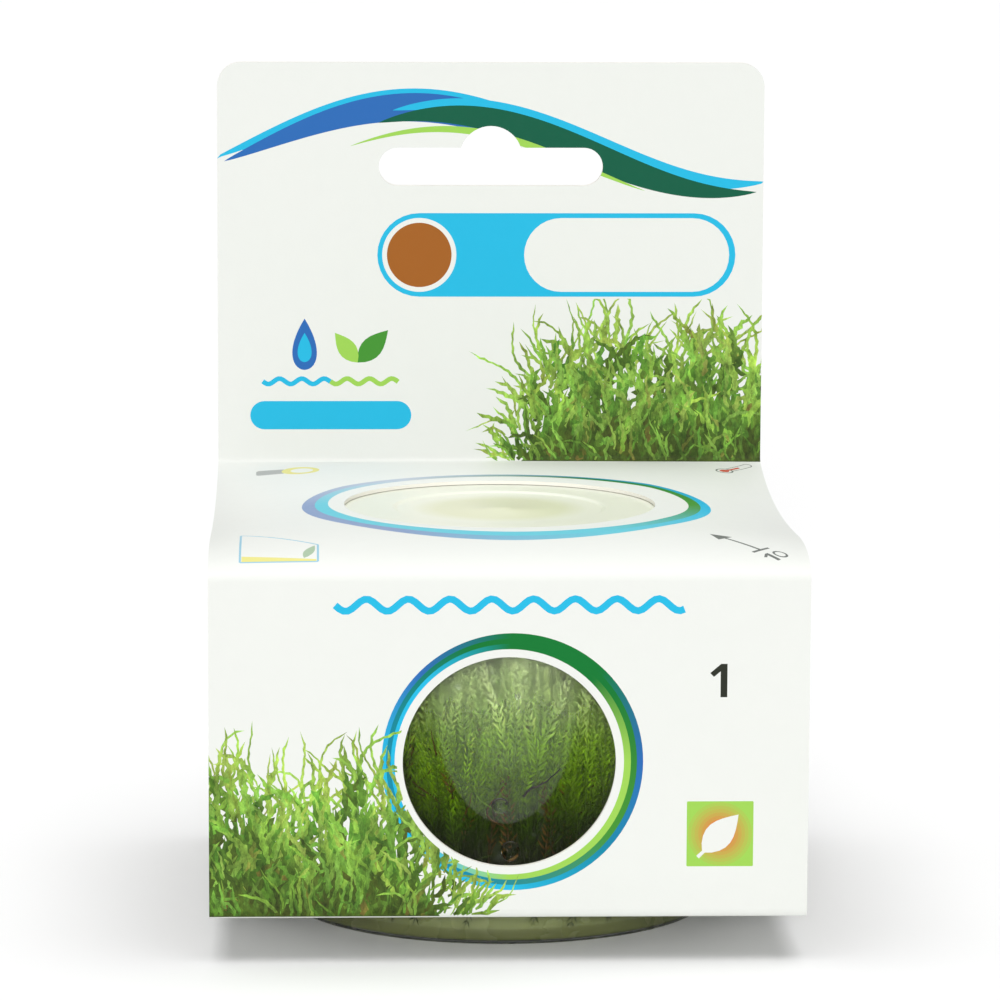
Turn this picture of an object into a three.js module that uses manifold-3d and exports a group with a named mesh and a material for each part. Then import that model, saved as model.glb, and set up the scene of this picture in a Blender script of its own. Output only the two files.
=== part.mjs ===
// A pot of spiky moss grown in vitro, in its shop sleeve: a clear tapered cup with a layer of nutrient
// gel and one cushion of moss, closed by a snap lid and held in a folded card sleeve that has a window
// in front, a round hole over the lid, a hole that the cup stands through, and a header to hang it by.
// Millimetres. +Z is up, the front faces -Y, and the origin is on the cup's axis at the resting plane.
import * as THREE from "three";
import { mergeVertices } from "three/addons/utils/BufferGeometryUtils.js";
import Module from "manifold-3d";

// Card sleeve
const sleeveWidth = 78;
const sleeveDepth = 78;
const card = 0.5;
const sleeveBottom = 5.9;
const frontTop = 51.2;
const panelShoulder = -34.5;
const panelBend = -20;
const panelTop = 54.9;
const panelCrown = 0.2;
const creaseTop = 55.2;
const sideDroop = 2.6;
const panelSteps = 8;
const headerTop = 112.4;
const headerCorner = 3.4;
const bottomFold = 1.2;
const frontFold = 0.8;
const windowRadius = 13.85;
const windowHeight = 26.7;
const lidHoleRadius = 21.2;
const lidHoleBack = -1;
const standHoleRadius = 31;
const hangSlotHeight = 97.55;
const hangSlotWidth = 32;
const hangSlotGauge = 5.4;
const hangBumpRadius = 4.5;
const hangBumpRise = 1.3;

// Clear cup
const cupWall = 0.7;
const cupBaseRadius = 29.3;
const cupShoulderRadius = 35;
const cupShoulderHeight = 46;
const cupHeight = 50.5;
const cupFloor = 0.6;
const footInnerRadius = 24;
const footRecess = 0.3;
const seatStep = 0.6;
const flangeRadius = 36.5;
const flangeThickness = 0.9;

// Snap lid
const lidWall = 0.7;
const lidRadius = 37.5;
const lidRimTop = 51.7;
const lidSkirtBottom = 48.3;
const lidPlateTop = 54.2;
const lidPlateRadius = 21.5;
const lidShoulderTop = 53.6;
const lidShoulderRadius = 27.5;
const lidDishRadius = 14;
const lidDishDepth = 0.3;
const lidPlugBottom = 48;
const lidPlugGap = 0.35;

// Gel and moss
const clearance = 0.3;
const gelTop = 8.6;
const gelRim = 0.8;
const mossWallGap = 0.5;
const cushionTop = 35;
const cushionCrown = 2.5;
const tipHeight = 45.5;
const shootsRound = 48;
const leafLevels = 16;
const notchDepth = 2.5;
const leafTipDepth = 0.9;
const stemDepth = 0.2;
const leafRise = 0.9;
const rimShoots = 30;
const rimShootWidth = 3.2;
const rimShootThickness = 0.9;
const rimLeafPairs = 3;
const crownSpikes = 60;
const spikeRadius = 1.5;
const goldenAngle = Math.PI * (3 - Math.sqrt(5));

const wasm = await Module();
wasm.setup();

// A closed geometry as a solid that can be joined and cut
function solidOf(geometry) {
  const bare = geometry.index ? geometry.toNonIndexed() : geometry.clone();
  bare.deleteAttribute("normal");
  bare.deleteAttribute("uv");
  const merged = mergeVertices(bare, 1e-4);
  const corners = merged.index.array;
  const kept = [];
  for (let i = 0; i < corners.length; i += 3) {
    const [a, b, c] = corners.slice(i, i + 3);
    if (a !== b && b !== c && c !== a) kept.push(a, b, c);
  }
  const mesh = new wasm.Mesh({
    numProp: 3,
    vertProperties: new Float32Array(merged.attributes.position.array),
    triVerts: new Uint32Array(kept),
  });
  return new wasm.Manifold(mesh);
}

// A solid as a mesh with a name and a material
function meshOf(name, solid, look) {
  const result = solid.getMesh();
  const geometry = new THREE.BufferGeometry();
  geometry.setAttribute("position", new THREE.BufferAttribute(result.vertProperties, 3));
  geometry.setIndex(new THREE.BufferAttribute(result.triVerts, 1));
  geometry.computeVertexNormals();
  const mesh = new THREE.Mesh(geometry, new THREE.MeshStandardMaterial(look));
  mesh.name = name;
  return mesh;
}

// A shape drawn in the Y-Z plane, extruded along X in steps and centred on it
function extrudeAlongX(shape, width, steps, curveSegments) {
  const options = { depth: width, steps, bevelEnabled: false, curveSegments };
  const geometry = new THREE.ExtrudeGeometry(shape, options);
  const axes = new THREE.Matrix4().makeBasis(
    new THREE.Vector3(0, 1, 0),
    new THREE.Vector3(0, 0, 1),
    new THREE.Vector3(1, 0, 0),
  );
  geometry.applyMatrix4(axes);
  geometry.translate(-width / 2, 0, 0);
  return geometry;
}

// A shape drawn in the X-Z plane, extruded along -Y from y
function extrudeAlongY(shape, y, length, curveSegments) {
  const geometry = new THREE.ExtrudeGeometry(shape, { depth: length, bevelEnabled: false, curveSegments });
  geometry.rotateX(Math.PI / 2);
  geometry.translate(0, y, 0);
  return geometry;
}

// A profile of [radius, height] points turned about Z
function turned(profile, segments) {
  const points = profile.map(([radius, height]) => new THREE.Vector2(radius, height));
  const geometry = new THREE.LatheGeometry(points, segments);
  geometry.rotateX(Math.PI / 2);
  return geometry;
}

// One outline of the folded strip, seen from the side. The inset is 0 outside and one card inside.
function drawStrip(path, inset) {
  const back = sleeveDepth / 2 - inset;
  const front = -sleeveDepth / 2 + inset;
  const low = sleeveBottom + inset;
  const crease = creaseTop - inset;
  const level = panelTop - inset;
  const rise = Math.atan2(panelTop - frontTop, panelShoulder + sleeveDepth / 2);
  const corner = frontTop - (inset * (1 - Math.sin(rise))) / Math.cos(rise);
  const shoulder = panelShoulder + inset * Math.tan(rise / 2);
  const fold = frontFold - inset;
  const small = bottomFold - inset;
  path.moveTo(back, inset > 0 ? crease - small : headerTop);
  path.lineTo(back, low + small);
  path.quadraticCurveTo(back, low, back - small, low);
  path.lineTo(front + small, low);
  path.quadraticCurveTo(front, low, front, low + small);
  path.lineTo(front, corner - fold);
  path.quadraticCurveTo(front, corner, front + fold * Math.cos(rise), corner + fold * Math.sin(rise));
  path.quadraticCurveTo(shoulder, level, panelBend, level);
  path.quadraticCurveTo(0, (level + crease) / 2 + panelCrown, back - bottomFold, crease);
  return path;
}

// How far the top panel droops at a place, because the lid carries only its middle
function droopAt(x, y) {
  const crease = sleeveDepth / 2 - 2 * card;
  const share = Math.max(0, (crease - y) / (crease + sleeveDepth / 2));
  const side = Math.min(1, Math.abs(x) / (sleeveWidth / 2));
  return sideDroop * side ** 4 * Math.sin(Math.PI * share ** 0.75);
}

// The folded strip's extrusion, wider by a number of steps on each side, with its top panel drooped
function foldedStrip(outline, extraSteps) {
  const step = sleeveWidth / panelSteps;
  const steps = panelSteps + 2 * extraSteps;
  const geometry = extrudeAlongX(outline, step * steps, steps, 8);
  const place = geometry.attributes.position;
  for (let i = 0; i < place.count; i += 1) {
    if (place.getZ(i) > frontTop / 2) {
      place.setZ(i, place.getZ(i) - droopAt(place.getX(i), place.getY(i)));
    }
  }
  return solidOf(geometry);
}

// The sleeve: one strip of card folded round the cup, its two ends glued together as the header
function cardSleeve() {
  const back = sleeveDepth / 2;
  const outline = drawStrip(new THREE.Shape(), 0);
  outline.lineTo(back - 2 * card, creaseTop);
  outline.lineTo(back - 2 * card, headerTop);
  outline.closePath();
  const room = drawStrip(new THREE.Shape(), card);
  room.closePath();
  let solid = foldedStrip(outline, 0);
  solid = solid.subtract(foldedStrip(room, 1));
  solid = solid.subtract(solidOf(headerCorners()));
  solid = solid.subtract(hangHole());
  solid = solid.subtract(frontWindow());
  solid = solid.subtract(roundHole(lidHoleRadius, lidHoleBack, cupHeight, headerTop));
  solid = solid.subtract(roundHole(standHoleRadius, 0, 0, sleeveBottom + 5));
  return solid;
}

// What the header's two rounded corners lose
function headerCorners() {
  const half = sleeveWidth / 2;
  const shape = new THREE.Shape();
  shape.moveTo(-half - 1, headerTop - headerCorner);
  shape.lineTo(-half, headerTop - headerCorner);
  shape.absarc(-half + headerCorner, headerTop - headerCorner, headerCorner, Math.PI, Math.PI / 2, true);
  shape.absarc(half - headerCorner, headerTop - headerCorner, headerCorner, Math.PI / 2, 0, true);
  shape.lineTo(half + 1, headerTop - headerCorner);
  shape.lineTo(half + 1, headerTop + 1);
  shape.lineTo(-half - 1, headerTop + 1);
  shape.closePath();
  return extrudeAlongY(shape, sleeveDepth / 2 + 1, 4, 10);
}

// The slot with a round bump that a shop hook goes through
function hangHole() {
  const end = hangSlotGauge / 2;
  const reach = hangSlotWidth / 2 - end;
  const slot = new THREE.Shape();
  slot.moveTo(-reach, hangSlotHeight - end);
  slot.lineTo(reach, hangSlotHeight - end);
  slot.absarc(reach, hangSlotHeight, end, -Math.PI / 2, Math.PI / 2, false);
  slot.lineTo(-reach, hangSlotHeight + end);
  slot.absarc(-reach, hangSlotHeight, end, Math.PI / 2, Math.PI * 1.5, false);
  const bump = new THREE.Shape();
  bump.moveTo(hangBumpRadius, hangSlotHeight);
  bump.absarc(0, hangSlotHeight + hangBumpRise, hangBumpRadius, 0, Math.PI, false);
  bump.lineTo(-hangBumpRadius, hangSlotHeight);
  const cut = solidOf(extrudeAlongY(slot, sleeveDepth / 2 + 1, 4, 10));
  return cut.add(solidOf(extrudeAlongY(bump, sleeveDepth / 2 + 1, 4, 14)));
}

// The round window in the front panel
function frontWindow() {
  const disc = new THREE.Shape();
  disc.absarc(0, windowHeight, windowRadius, 0, Math.PI * 2, false);
  return solidOf(extrudeAlongY(disc, -sleeveDepth / 2 + 2, 4, 32));
}

// A round hole through a level panel
function roundHole(radius, y, from, to) {
  const disc = new THREE.CylinderGeometry(radius, radius, to - from, 64);
  disc.rotateX(Math.PI / 2);
  disc.translate(0, y, (from + to) / 2);
  return solidOf(disc);
}

// The cup's outside radius at a height on its tapered wall
function cupRadiusAt(height) {
  return cupBaseRadius + ((cupShoulderRadius - cupBaseRadius) * height) / cupShoulderHeight;
}

// The cup: a foot ring round a raised floor, all of one thickness, a tapered wall, a wider seat and a
// flange for the lid
function clearCup() {
  const seatRadius = cupShoulderRadius + seatStep;
  const profile = [
    [0, footRecess],
    [footInnerRadius - 0.8, footRecess],
    [footInnerRadius, 0],
    [cupBaseRadius - 0.9, 0],
    [cupBaseRadius - 0.2, 0.3],
    [cupRadiusAt(1.2), 1.2],
    [cupRadiusAt(cupShoulderHeight), cupShoulderHeight],
    [seatRadius, cupShoulderHeight + 0.6],
    [seatRadius, cupHeight - flangeThickness],
    [flangeRadius, cupHeight - flangeThickness],
    [flangeRadius, cupHeight],
    [seatRadius - cupWall, cupHeight],
    [seatRadius - cupWall, cupShoulderHeight + 0.9],
    [cupRadiusAt(cupShoulderHeight) - cupWall, cupShoulderHeight + 0.2],
    [cupRadiusAt(1.7) - cupWall, 1.7],
    [cupRadiusAt(cupFloor) - cupWall - 0.7, cupFloor],
    [footInnerRadius + 0.2, cupFloor],
    [footInnerRadius - 0.6, footRecess + cupFloor],
    [0, footRecess + cupFloor],
  ];
  return solidOf(turned(profile, 96));
}

// The lid: a raised plate with a shallow dish, a flat rim, a plug wall inside the cup and a skirt
function snapLid() {
  const plugRadius = cupShoulderRadius + seatStep - cupWall - lidPlugGap;
  const rimUnder = lidRimTop - lidWall;
  const profile = [
    [0, lidPlateTop - lidDishDepth - lidWall],
    [lidPlateRadius, lidPlateTop - lidDishDepth - lidWall],
    [lidShoulderRadius - lidWall, lidShoulderTop - lidWall],
    [lidShoulderRadius + 1, rimUnder],
    [plugRadius - lidWall, rimUnder],
    [plugRadius - lidWall, lidPlugBottom],
    [plugRadius, lidPlugBottom],
    [plugRadius, rimUnder - 0.2],
    [plugRadius + 0.2, rimUnder],
    [lidRadius - lidWall - 0.2, rimUnder],
    [lidRadius - lidWall, rimUnder - 0.2],
    [lidRadius - lidWall, lidSkirtBottom],
    [lidRadius, lidSkirtBottom],
    [lidRadius, lidRimTop - 0.6],
    [lidRadius - 0.6, lidRimTop],
    [lidShoulderRadius + 1.8, lidRimTop],
    [lidShoulderRadius + 0.4, lidShoulderTop - 0.3],
    [lidShoulderRadius, lidShoulderTop],
    [lidPlateRadius, lidPlateTop],
    [lidDishRadius + 0.5, lidPlateTop],
    [lidDishRadius, lidPlateTop - lidDishDepth],
    [0, lidPlateTop - lidDishDepth],
  ];
  return solidOf(turned(profile, 96));
}

// The gel: a disc poured into the cup, with a rim that climbs the wall a little
function nutrientGel() {
  const wallAt = (height) => cupRadiusAt(height) - cupWall - clearance;
  const bottom = footRecess + cupFloor + clearance;
  const profile = [
    [0, bottom],
    [wallAt(bottom) - 0.8, bottom],
    [wallAt(2.1), 2.1],
    [wallAt(gelTop), gelTop],
    [wallAt(gelTop) - 0.3, gelTop],
    [wallAt(gelTop) - 1.6, gelTop - gelRim * 0.7],
    [wallAt(gelTop) - 4, gelTop - gelRim],
    [0, gelTop - gelRim],
  ];
  return solidOf(turned(profile, 72));
}

// The largest radius that the moss reaches at a height
function mossRadiusAt(height) {
  return cupRadiusAt(Math.min(height, cupShoulderHeight)) - cupWall - mossWallGap;
}

// The cushion: its side is a ring of upright shoots pressed on the cup's wall. Columns of the grid are in
// turn a shoot's stem and the gap beside it, where levels are in turn a leaf's tip and a notch.
function cushion() {
  const bottom = gelTop - gelRim + clearance;
  const columns = 2 * shootsRound;
  const profile = [[0, bottom], [14, bottom], [mossRadiusAt(bottom) - 5, bottom]];
  const firstLeaf = profile.length;
  for (let i = 0; i < leafLevels; i += 1) {
    const height = gelTop + 1.2 + ((cushionTop - gelTop - 1.2) * i) / (leafLevels - 1);
    profile.push([mossRadiusAt(height), height]);
  }
  const firstCrown = profile.length;
  profile.push([23, cushionTop + 0.6 * cushionCrown]);
  profile.push([11, cushionTop + cushionCrown]);
  profile.push([0, cushionTop + cushionCrown]);
  const geometry = turned(profile, columns);
  const place = geometry.attributes.position;
  for (let column = 0; column <= columns; column += 1) {
    const around = column % columns;
    const isGap = around % 2 === 1;
    const turn = 0.25 * (Math.PI / shootsRound) * Math.sin(7.1 * around);
    for (let level = firstLeaf; level < profile.length - 1; level += 1) {
      const index = column * profile.length + level;
      const vertex = new THREE.Vector3().fromBufferAttribute(place, index);
      if (level >= firstCrown) {
        vertex.z += 1.5 * Math.sin(5.3 * around + 2 * level);
      } else {
        const gapDepth = level % 2 === 0 ? notchDepth : leafTipDepth;
        const depth = (isGap ? gapDepth : stemDepth) + 0.25 * (1 + Math.sin(3.3 * around + 1.7 * level));
        const share = 1 - depth / mossRadiusAt(vertex.z);
        vertex.set(vertex.x * share, vertex.y * share, vertex.z + (isGap ? leafRise : 0));
      }
      vertex.applyAxisAngle(new THREE.Vector3(0, 0, 1), turn);
      place.setXYZ(index, vertex.x, vertex.y, vertex.z);
    }
  }
  return solidOf(geometry);
}

// The outline of one flat shoot with pointed leaves in pairs, growing along +Z from 0
function shootOutline(length) {
  const half = rimShootWidth / 2;
  const step = length / (rimLeafPairs + 1);
  const right = [[0.5, 0]];
  for (let i = 1; i <= rimLeafPairs; i += 1) {
    const reach = half * (1 - 0.4 * (i / rimLeafPairs) ** 2);
    right.push([0.4, step * (i - 0.35)]);
    right.push([reach, step * (i + 0.35)]);
  }
  const left = right.map(([x, z]) => [-x, z]).reverse();
  const outline = [...right, [0, length], ...left];
  return new THREE.Shape(outline.map(([x, z]) => new THREE.Vector2(x, z)));
}

// One shoot standing free on the cushion's rim, facing out and leaning with the cup's wall
function rimShoot(length, angle, bottom, lean, twist) {
  const outline = shootOutline(length);
  const geometry = extrudeAlongY(outline, rimShootThickness / 2, rimShootThickness, 1);
  const radius = mossRadiusAt(bottom) - rimShootWidth / 2;
  geometry.rotateZ(twist);
  geometry.rotateX(-lean);
  geometry.rotateZ(angle - Math.PI / 2);
  geometry.translate(radius * Math.cos(angle), radius * Math.sin(angle), bottom);
  return solidOf(geometry);
}

// One spike on the cushion's crown, from below its surface up to a tip
function crownSpike(radius, angle, bottom, tip, lean) {
  const spike = new THREE.ConeGeometry(spikeRadius, tip - bottom, 4);
  spike.rotateX(Math.PI / 2);
  spike.translate(0, 0, (tip - bottom) / 2);
  spike.rotateX(lean);
  spike.rotateZ(angle * 3);
  spike.translate(radius * Math.cos(angle), radius * Math.sin(angle), bottom);
  return solidOf(spike);
}

// The moss: the cushion, the shoots on its rim and the spikes on its crown, all grown together
function moss() {
  const taper = Math.atan((cupShoulderRadius - cupBaseRadius) / cupShoulderHeight);
  const rooted = cushionTop - 3;
  const parts = [cushion()];
  for (let i = 0; i < rimShoots; i += 1) {
    const angle = (2 * Math.PI * i) / rimShoots;
    const length = tipHeight - rooted - 2.5 * (1 + Math.sin(2.3 * i));
    parts.push(rimShoot(length, angle, rooted, taper, 0.3 * Math.sin(3.7 * i)));
  }
  for (let i = 0; i < crownSpikes; i += 1) {
    const radius = 28 * Math.sqrt((i + 0.5) / crownSpikes);
    const tip = tipHeight - 2.2 * (1 + Math.sin(2.9 * i));
    parts.push(crownSpike(radius, goldenAngle * i, rooted, tip, 0.12 * Math.sin(1.7 * i)));
  }
  return outerSkin(wasm.Manifold.union(parts));
}

// The skin of largest volume alone, which fills the small pockets that crossing shoots close in
function outerSkin(solid) {
  const skins = solid.decompose();
  return skins.reduce((largest, skin) => (skin.volume() > largest.volume() ? skin : largest));
}

const pot = new THREE.Group();
pot.add(meshOf("card_sleeve", cardSleeve(), { color: 0xf2f3ef, roughness: 0.6, metalness: 0 }));
pot.add(meshOf("clear_cup", clearCup(), {
  color: 0xe9efe9, roughness: 0.08, metalness: 0, transparent: true, opacity: 0.3,
}));
pot.add(meshOf("snap_lid", snapLid(), { color: 0xe3e1c8, roughness: 0.4, metalness: 0 }));
pot.add(meshOf("nutrient_gel", nutrientGel(), { color: 0x696e46, roughness: 0.25, metalness: 0 }));
pot.add(meshOf("moss", moss(), { color: 0x4f7d1c, roughness: 0.7, metalness: 0 }));

export default pot;
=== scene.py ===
import math
import random

import bpy
import numpy as np
from mathutils import Matrix, Vector, geometry


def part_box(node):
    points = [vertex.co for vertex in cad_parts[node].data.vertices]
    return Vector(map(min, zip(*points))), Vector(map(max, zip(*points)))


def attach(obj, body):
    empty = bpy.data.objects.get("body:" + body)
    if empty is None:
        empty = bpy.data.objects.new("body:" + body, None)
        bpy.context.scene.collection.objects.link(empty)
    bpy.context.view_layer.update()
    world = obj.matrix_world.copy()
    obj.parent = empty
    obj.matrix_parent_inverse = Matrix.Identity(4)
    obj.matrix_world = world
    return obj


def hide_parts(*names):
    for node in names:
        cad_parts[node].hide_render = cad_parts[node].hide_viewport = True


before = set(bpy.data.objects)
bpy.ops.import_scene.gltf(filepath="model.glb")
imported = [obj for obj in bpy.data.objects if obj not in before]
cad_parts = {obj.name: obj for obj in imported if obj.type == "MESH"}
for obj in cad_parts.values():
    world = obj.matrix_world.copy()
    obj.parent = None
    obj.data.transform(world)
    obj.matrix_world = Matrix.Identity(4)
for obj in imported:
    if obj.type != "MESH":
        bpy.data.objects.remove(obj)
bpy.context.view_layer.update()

MM = 0.001


def box_mm(node):
    """A CAD node's lowest and highest corners in millimetres."""
    low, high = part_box(node)
    return [c / MM for c in low], [c / MM for c in high]


SLEEVE_LOW, SLEEVE_HIGH = box_mm("card_sleeve")
_, CUP_HIGH = box_mm("clear_cup")
LID_LOW, LID_HIGH = box_mm("snap_lid")
_, GEL_HIGH = box_mm("nutrient_gel")
_, MOSS_HIGH = box_mm("moss")

# Card sleeve, in millimetres
WIDTH = SLEEVE_HIGH[0] - SLEEVE_LOW[0]
BACK = SLEEVE_HIGH[1]
FRONT = SLEEVE_LOW[1]
SLEEVE_BOTTOM = SLEEVE_LOW[2]
HEADER_TOP = SLEEVE_HIGH[2]
CARD = 0.5
GLUE_GAP = 0.01
FRONT_TOP = 51.2
PANEL_SHOULDER = -34.5
PANEL_BEND = -20.0
PANEL_REST = 21.5
PANEL_TURN = 29.0
PANEL_TOP = 54.9
CREASE_TOP = 55.2
SIDE_DROOP = 2.6
DROOP_COLUMNS = 26
CREASE_FOLD = 0.6
BOTTOM_FOLD = 1.2
FRONT_FOLD = 0.8
HEADER_CORNER = 3.4
WINDOW_RADIUS = 13.85
WINDOW_HEIGHT = 26.7
LID_HOLE_RADIUS = 21.2
LID_HOLE_BACK = -1.0
STAND_HOLE_RADIUS = 31.0
SLOT_HEIGHT = 97.55
SLOT_WIDTH = 32.0
SLOT_GAUGE = 5.4
BUMP_RADIUS = 4.5
BUMP_RISE = 1.3

# Cup, lid, gel and condensed drops, in millimetres
CUP_WALL = 0.7
CUP_BASE_RADIUS = 29.3
SHOULDER_RADIUS = 35.0
SHOULDER_HEIGHT = 46.0
CUP_TOP = CUP_HIGH[2]
CUP_FLOOR = 0.6
FOOT_INNER = 24.0
FOOT_RECESS = 0.3
SEAT_STEP = 0.6
FLANGE_RADIUS = CUP_HIGH[0]
FLANGE = 0.9
LID_RADIUS = LID_HIGH[0]
LID_WALL = 0.7
LID_RIM_TOP = 51.7
LID_SKIRT = 48.3
LID_LIFT = 0.14
LID_PLATE_TOP = LID_HIGH[2] + LID_LIFT
LID_PLATE_RADIUS = 21.5
LID_SHOULDER_TOP = 53.6
LID_SHOULDER_RADIUS = 27.5
LID_DISH_RADIUS = 14.0
LID_DISH_DEPTH = 0.3
LID_PLUG_BOTTOM = LID_LOW[2]
PLUG_GAP = 0.35
GEL_TOP = GEL_HIGH[2]
GEL_WETTING = 0.03
GEL_WALL_GAP = 0.32
FOG_ROUGHNESS = 0.5
FOG_LOW = 21
FOG_HIGH = 40
DISH_TONE_INNER = 8.5
DISH_TONE_OUTER = 12
SMALL_DROPS = 240
DROPS_TOP = 46.5
DROPS_BAND = 14
# Wide drops behind the window: how far aside, height and radius
WIDE_DROPS = ((-0.9, 19.3, 1.15), (0.5, 13.0, 1.25))

# Steps of turned pieces, rounded corners, round ends, round holes and drops
TURN_STEPS = 192
CORNER_STEPS = 4
END_STEPS = 16
HOLE_STEPS = 128
DROP_RINGS = 4
DROP_SIDES = 14

# Camera, found by fitting a pinhole camera to the photograph
CAMERA_PLACE = Vector((-25.482, -688.08, 159.467)) * MM
CAMERA_TURN = 0.03714
CAMERA_DIP = 0.15027
CAMERA_ROLL = -0.00426
FOCAL_PIXELS = 5100.8
PHOTO_SIZE = 1000
SENSOR = 36.0


def linear(code):
    """A web colour as scene-linear red, green and blue."""
    parts = [int(code[i:i + 2], 16) / 255 for i in (0, 2, 4)]
    return tuple(c / 12.92 if c <= 0.04045 else ((c + 0.055) / 1.055) ** 2.4 for c in parts)


def mix(a, b, share):
    """A colour part of the way from a to b."""
    return tuple(x + (y - x) * share for x, y in zip(a, b))


PRINT_LIGHT = 1.19
PRINT_SHEEN = 0.014


def ink(code):
    """A printed colour, from the colour that it shows under the studio's light and the varnish's sheen."""
    return tuple(max(0.0, c - PRINT_SHEEN) / PRINT_LIGHT for c in linear(code))


WHITE_CARD = ink("f3f5f0")
BARE_CARD = linear("dedbd2")
CUT_EDGE = linear("f4f1e8")
SKY_BLUE = ink("30c1ea")
PALE_SKY = ink("6fd3e4")
DEEP_BLUE = ink("3671bc")
DARK_GREEN = ink("1f644b")
TEAL = ink("2390ad")
LEAF_GREEN = ink("057e3b")
GRASS_GREEN = ink("4d9a3c")
LIME = ink("a6da5e")
ORANGE = ink("e08a4e")
BROWN = ink("ab682e")
RED = ink("d8604a")
PALE_SAND = ink("efe993")
PALE_BLUE = ink("a2d0e4")
PALE_GREY = ink("b7b9b6")
INK = ink("373a32")
GREY_INK = ink("7b7f7b")
MOSS_DARK = ink("4c5c2c")
MOSS_MID = ink("64983c")
MOSS_LIGHT = ink("aacb5c")
MOSS_BROWN = ink("8a7440")
WAVE_HEIGHT = 99.5
STRAND_STEP = 0.65
# How many strands, where their feet begin and end in shares of the bank's height, their length, width
# and lightness
MOSS_STRANDS = (
    (46, 0.8, 1.0, 9.0, 0.38, 0.8),
    (72, 0.55, 1.0, 6.0, 0.6, 0.4),
    (56, 0.3, 0.85, 5.5, 0.95, -0.4),
    (110, 0.1, 0.8, 6.0, 0.65, 0.35),
    (76, 0.0, 0.6, 5.5, 0.7, -0.05),
    (60, 0.0, 0.55, 7.0, 0.55, 0.6),
    (60, -0.12, 0.12, 4.5, 0.6, 0.1),
    (60, -0.12, 0.2, 3.5, 0.75, -0.45),
    (46, -0.12, 0.12, 5.0, 0.4, 0.45),
)


# Materials

def new_material(name):
    """A new material, its node tree, its Principled shader and its output."""
    material = bpy.data.materials.new(name)
    material.use_nodes = True
    tree = material.node_tree
    return material, tree, tree.nodes["Principled BSDF"], tree.nodes["Material Output"]


def add_noise(tree, scale, detail, rough=0.5, stretch=(1, 1, 1)):
    """Noise over the piece's own coordinates, with its scale in cycles per metre."""
    place = tree.nodes.new("ShaderNodeTexCoord")
    spread = tree.nodes.new("ShaderNodeMapping")
    spread.inputs["Scale"].default_value = stretch
    tree.links.new(place.outputs["Object"], spread.inputs["Vector"])
    noise = tree.nodes.new("ShaderNodeTexNoise")
    noise.inputs["Scale"].default_value = scale
    noise.inputs["Detail"].default_value = detail
    noise.inputs["Roughness"].default_value = rough
    tree.links.new(spread.outputs["Vector"], noise.inputs["Vector"])
    return noise.outputs["Fac"]


def add_range(tree, value, low, high):
    """A 0 to 1 value spread between low and high."""
    spread = tree.nodes.new("ShaderNodeMapRange")
    spread.inputs["To Min"].default_value = low
    spread.inputs["To Max"].default_value = high
    tree.links.new(value, spread.inputs["Value"])
    return spread.outputs["Result"]


def add_product(tree, a, b):
    """Two values multiplied."""
    product = tree.nodes.new("ShaderNodeMath")
    product.operation = "MULTIPLY"
    tree.links.new(a, product.inputs[0])
    tree.links.new(b, product.inputs[1])
    return product.outputs["Value"]


def add_rise(tree, value, low, high):
    """A value that rises from 0 to 1 while another passes between two measures in millimetres."""
    rise = tree.nodes.new("ShaderNodeMapRange")
    rise.inputs["From Min"].default_value = low * MM
    rise.inputs["From Max"].default_value = high * MM
    tree.links.new(value, rise.inputs["Value"])
    return rise.outputs["Result"]


def add_height(tree, low, high):
    """A value that rises from 0 to 1 between two heights in millimetres."""
    place = tree.nodes.new("ShaderNodeTexCoord")
    parts = tree.nodes.new("ShaderNodeSeparateXYZ")
    tree.links.new(place.outputs["Object"], parts.inputs["Vector"])
    return add_rise(tree, parts.outputs["Z"], low, high)


def add_radius(tree, low, high):
    """A value that rises from 0 to 1 between two distances from the cup's axis in millimetres."""
    place = tree.nodes.new("ShaderNodeTexCoord")
    level = tree.nodes.new("ShaderNodeVectorMath")
    level.operation = "MULTIPLY"
    level.inputs[1].default_value = (1, 1, 0)
    tree.links.new(place.outputs["Object"], level.inputs[0])
    length = tree.nodes.new("ShaderNodeVectorMath")
    length.operation = "LENGTH"
    tree.links.new(level.outputs["Vector"], length.inputs[0])
    return add_rise(tree, length.outputs["Value"], low, high)


def add_bump(tree, shader, height, strength, distance):
    """Bump of a height in metres on a shader."""
    bump = tree.nodes.new("ShaderNodeBump")
    bump.inputs["Strength"].default_value = strength
    bump.inputs["Distance"].default_value = distance
    tree.links.new(height, bump.inputs["Height"])
    tree.links.new(bump.outputs["Normal"], shader.inputs["Normal"])


def add_roughness(tree, shader, scale, detail, low, high):
    """A shader's roughness, which varies with noise between low and high."""
    tree.links.new(add_range(tree, add_noise(tree, scale, detail), low, high), shader.inputs["Roughness"])


def add_scaled_colour(tree, colour, factor):
    """A colour made lighter or darker by a factor."""
    scale = tree.nodes.new("ShaderNodeVectorMath")
    scale.operation = "SCALE"
    tree.links.new(colour, scale.inputs[0])
    tree.links.new(factor, scale.inputs["Scale"])
    return scale.outputs["Vector"]


def add_attribute(tree, name):
    """The outputs of a colour that is stored on the mesh."""
    attribute = tree.nodes.new("ShaderNodeAttribute")
    attribute.attribute_name = name
    return attribute.outputs


def add_tone(tree, share, low, high):
    """A colour between two, by a value from 0 to 1."""
    tone = tree.nodes.new("ShaderNodeMix")
    tone.data_type = "RGBA"
    tone.inputs["A"].default_value = low
    tone.inputs["B"].default_value = high
    tree.links.new(share, tone.inputs["Factor"])
    return tone.outputs["Result"]


def add_blend(tree, output, first, second):
    """Makes the surface a blend of two shaders. Returns the input for the second one's share."""
    blend = tree.nodes.new("ShaderNodeMixShader")
    tree.links.new(first.outputs[0], blend.inputs[1])
    tree.links.new(second.outputs[0], blend.inputs[2])
    tree.links.new(blend.outputs[0], output.inputs["Surface"])
    return blend.inputs[0]


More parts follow.
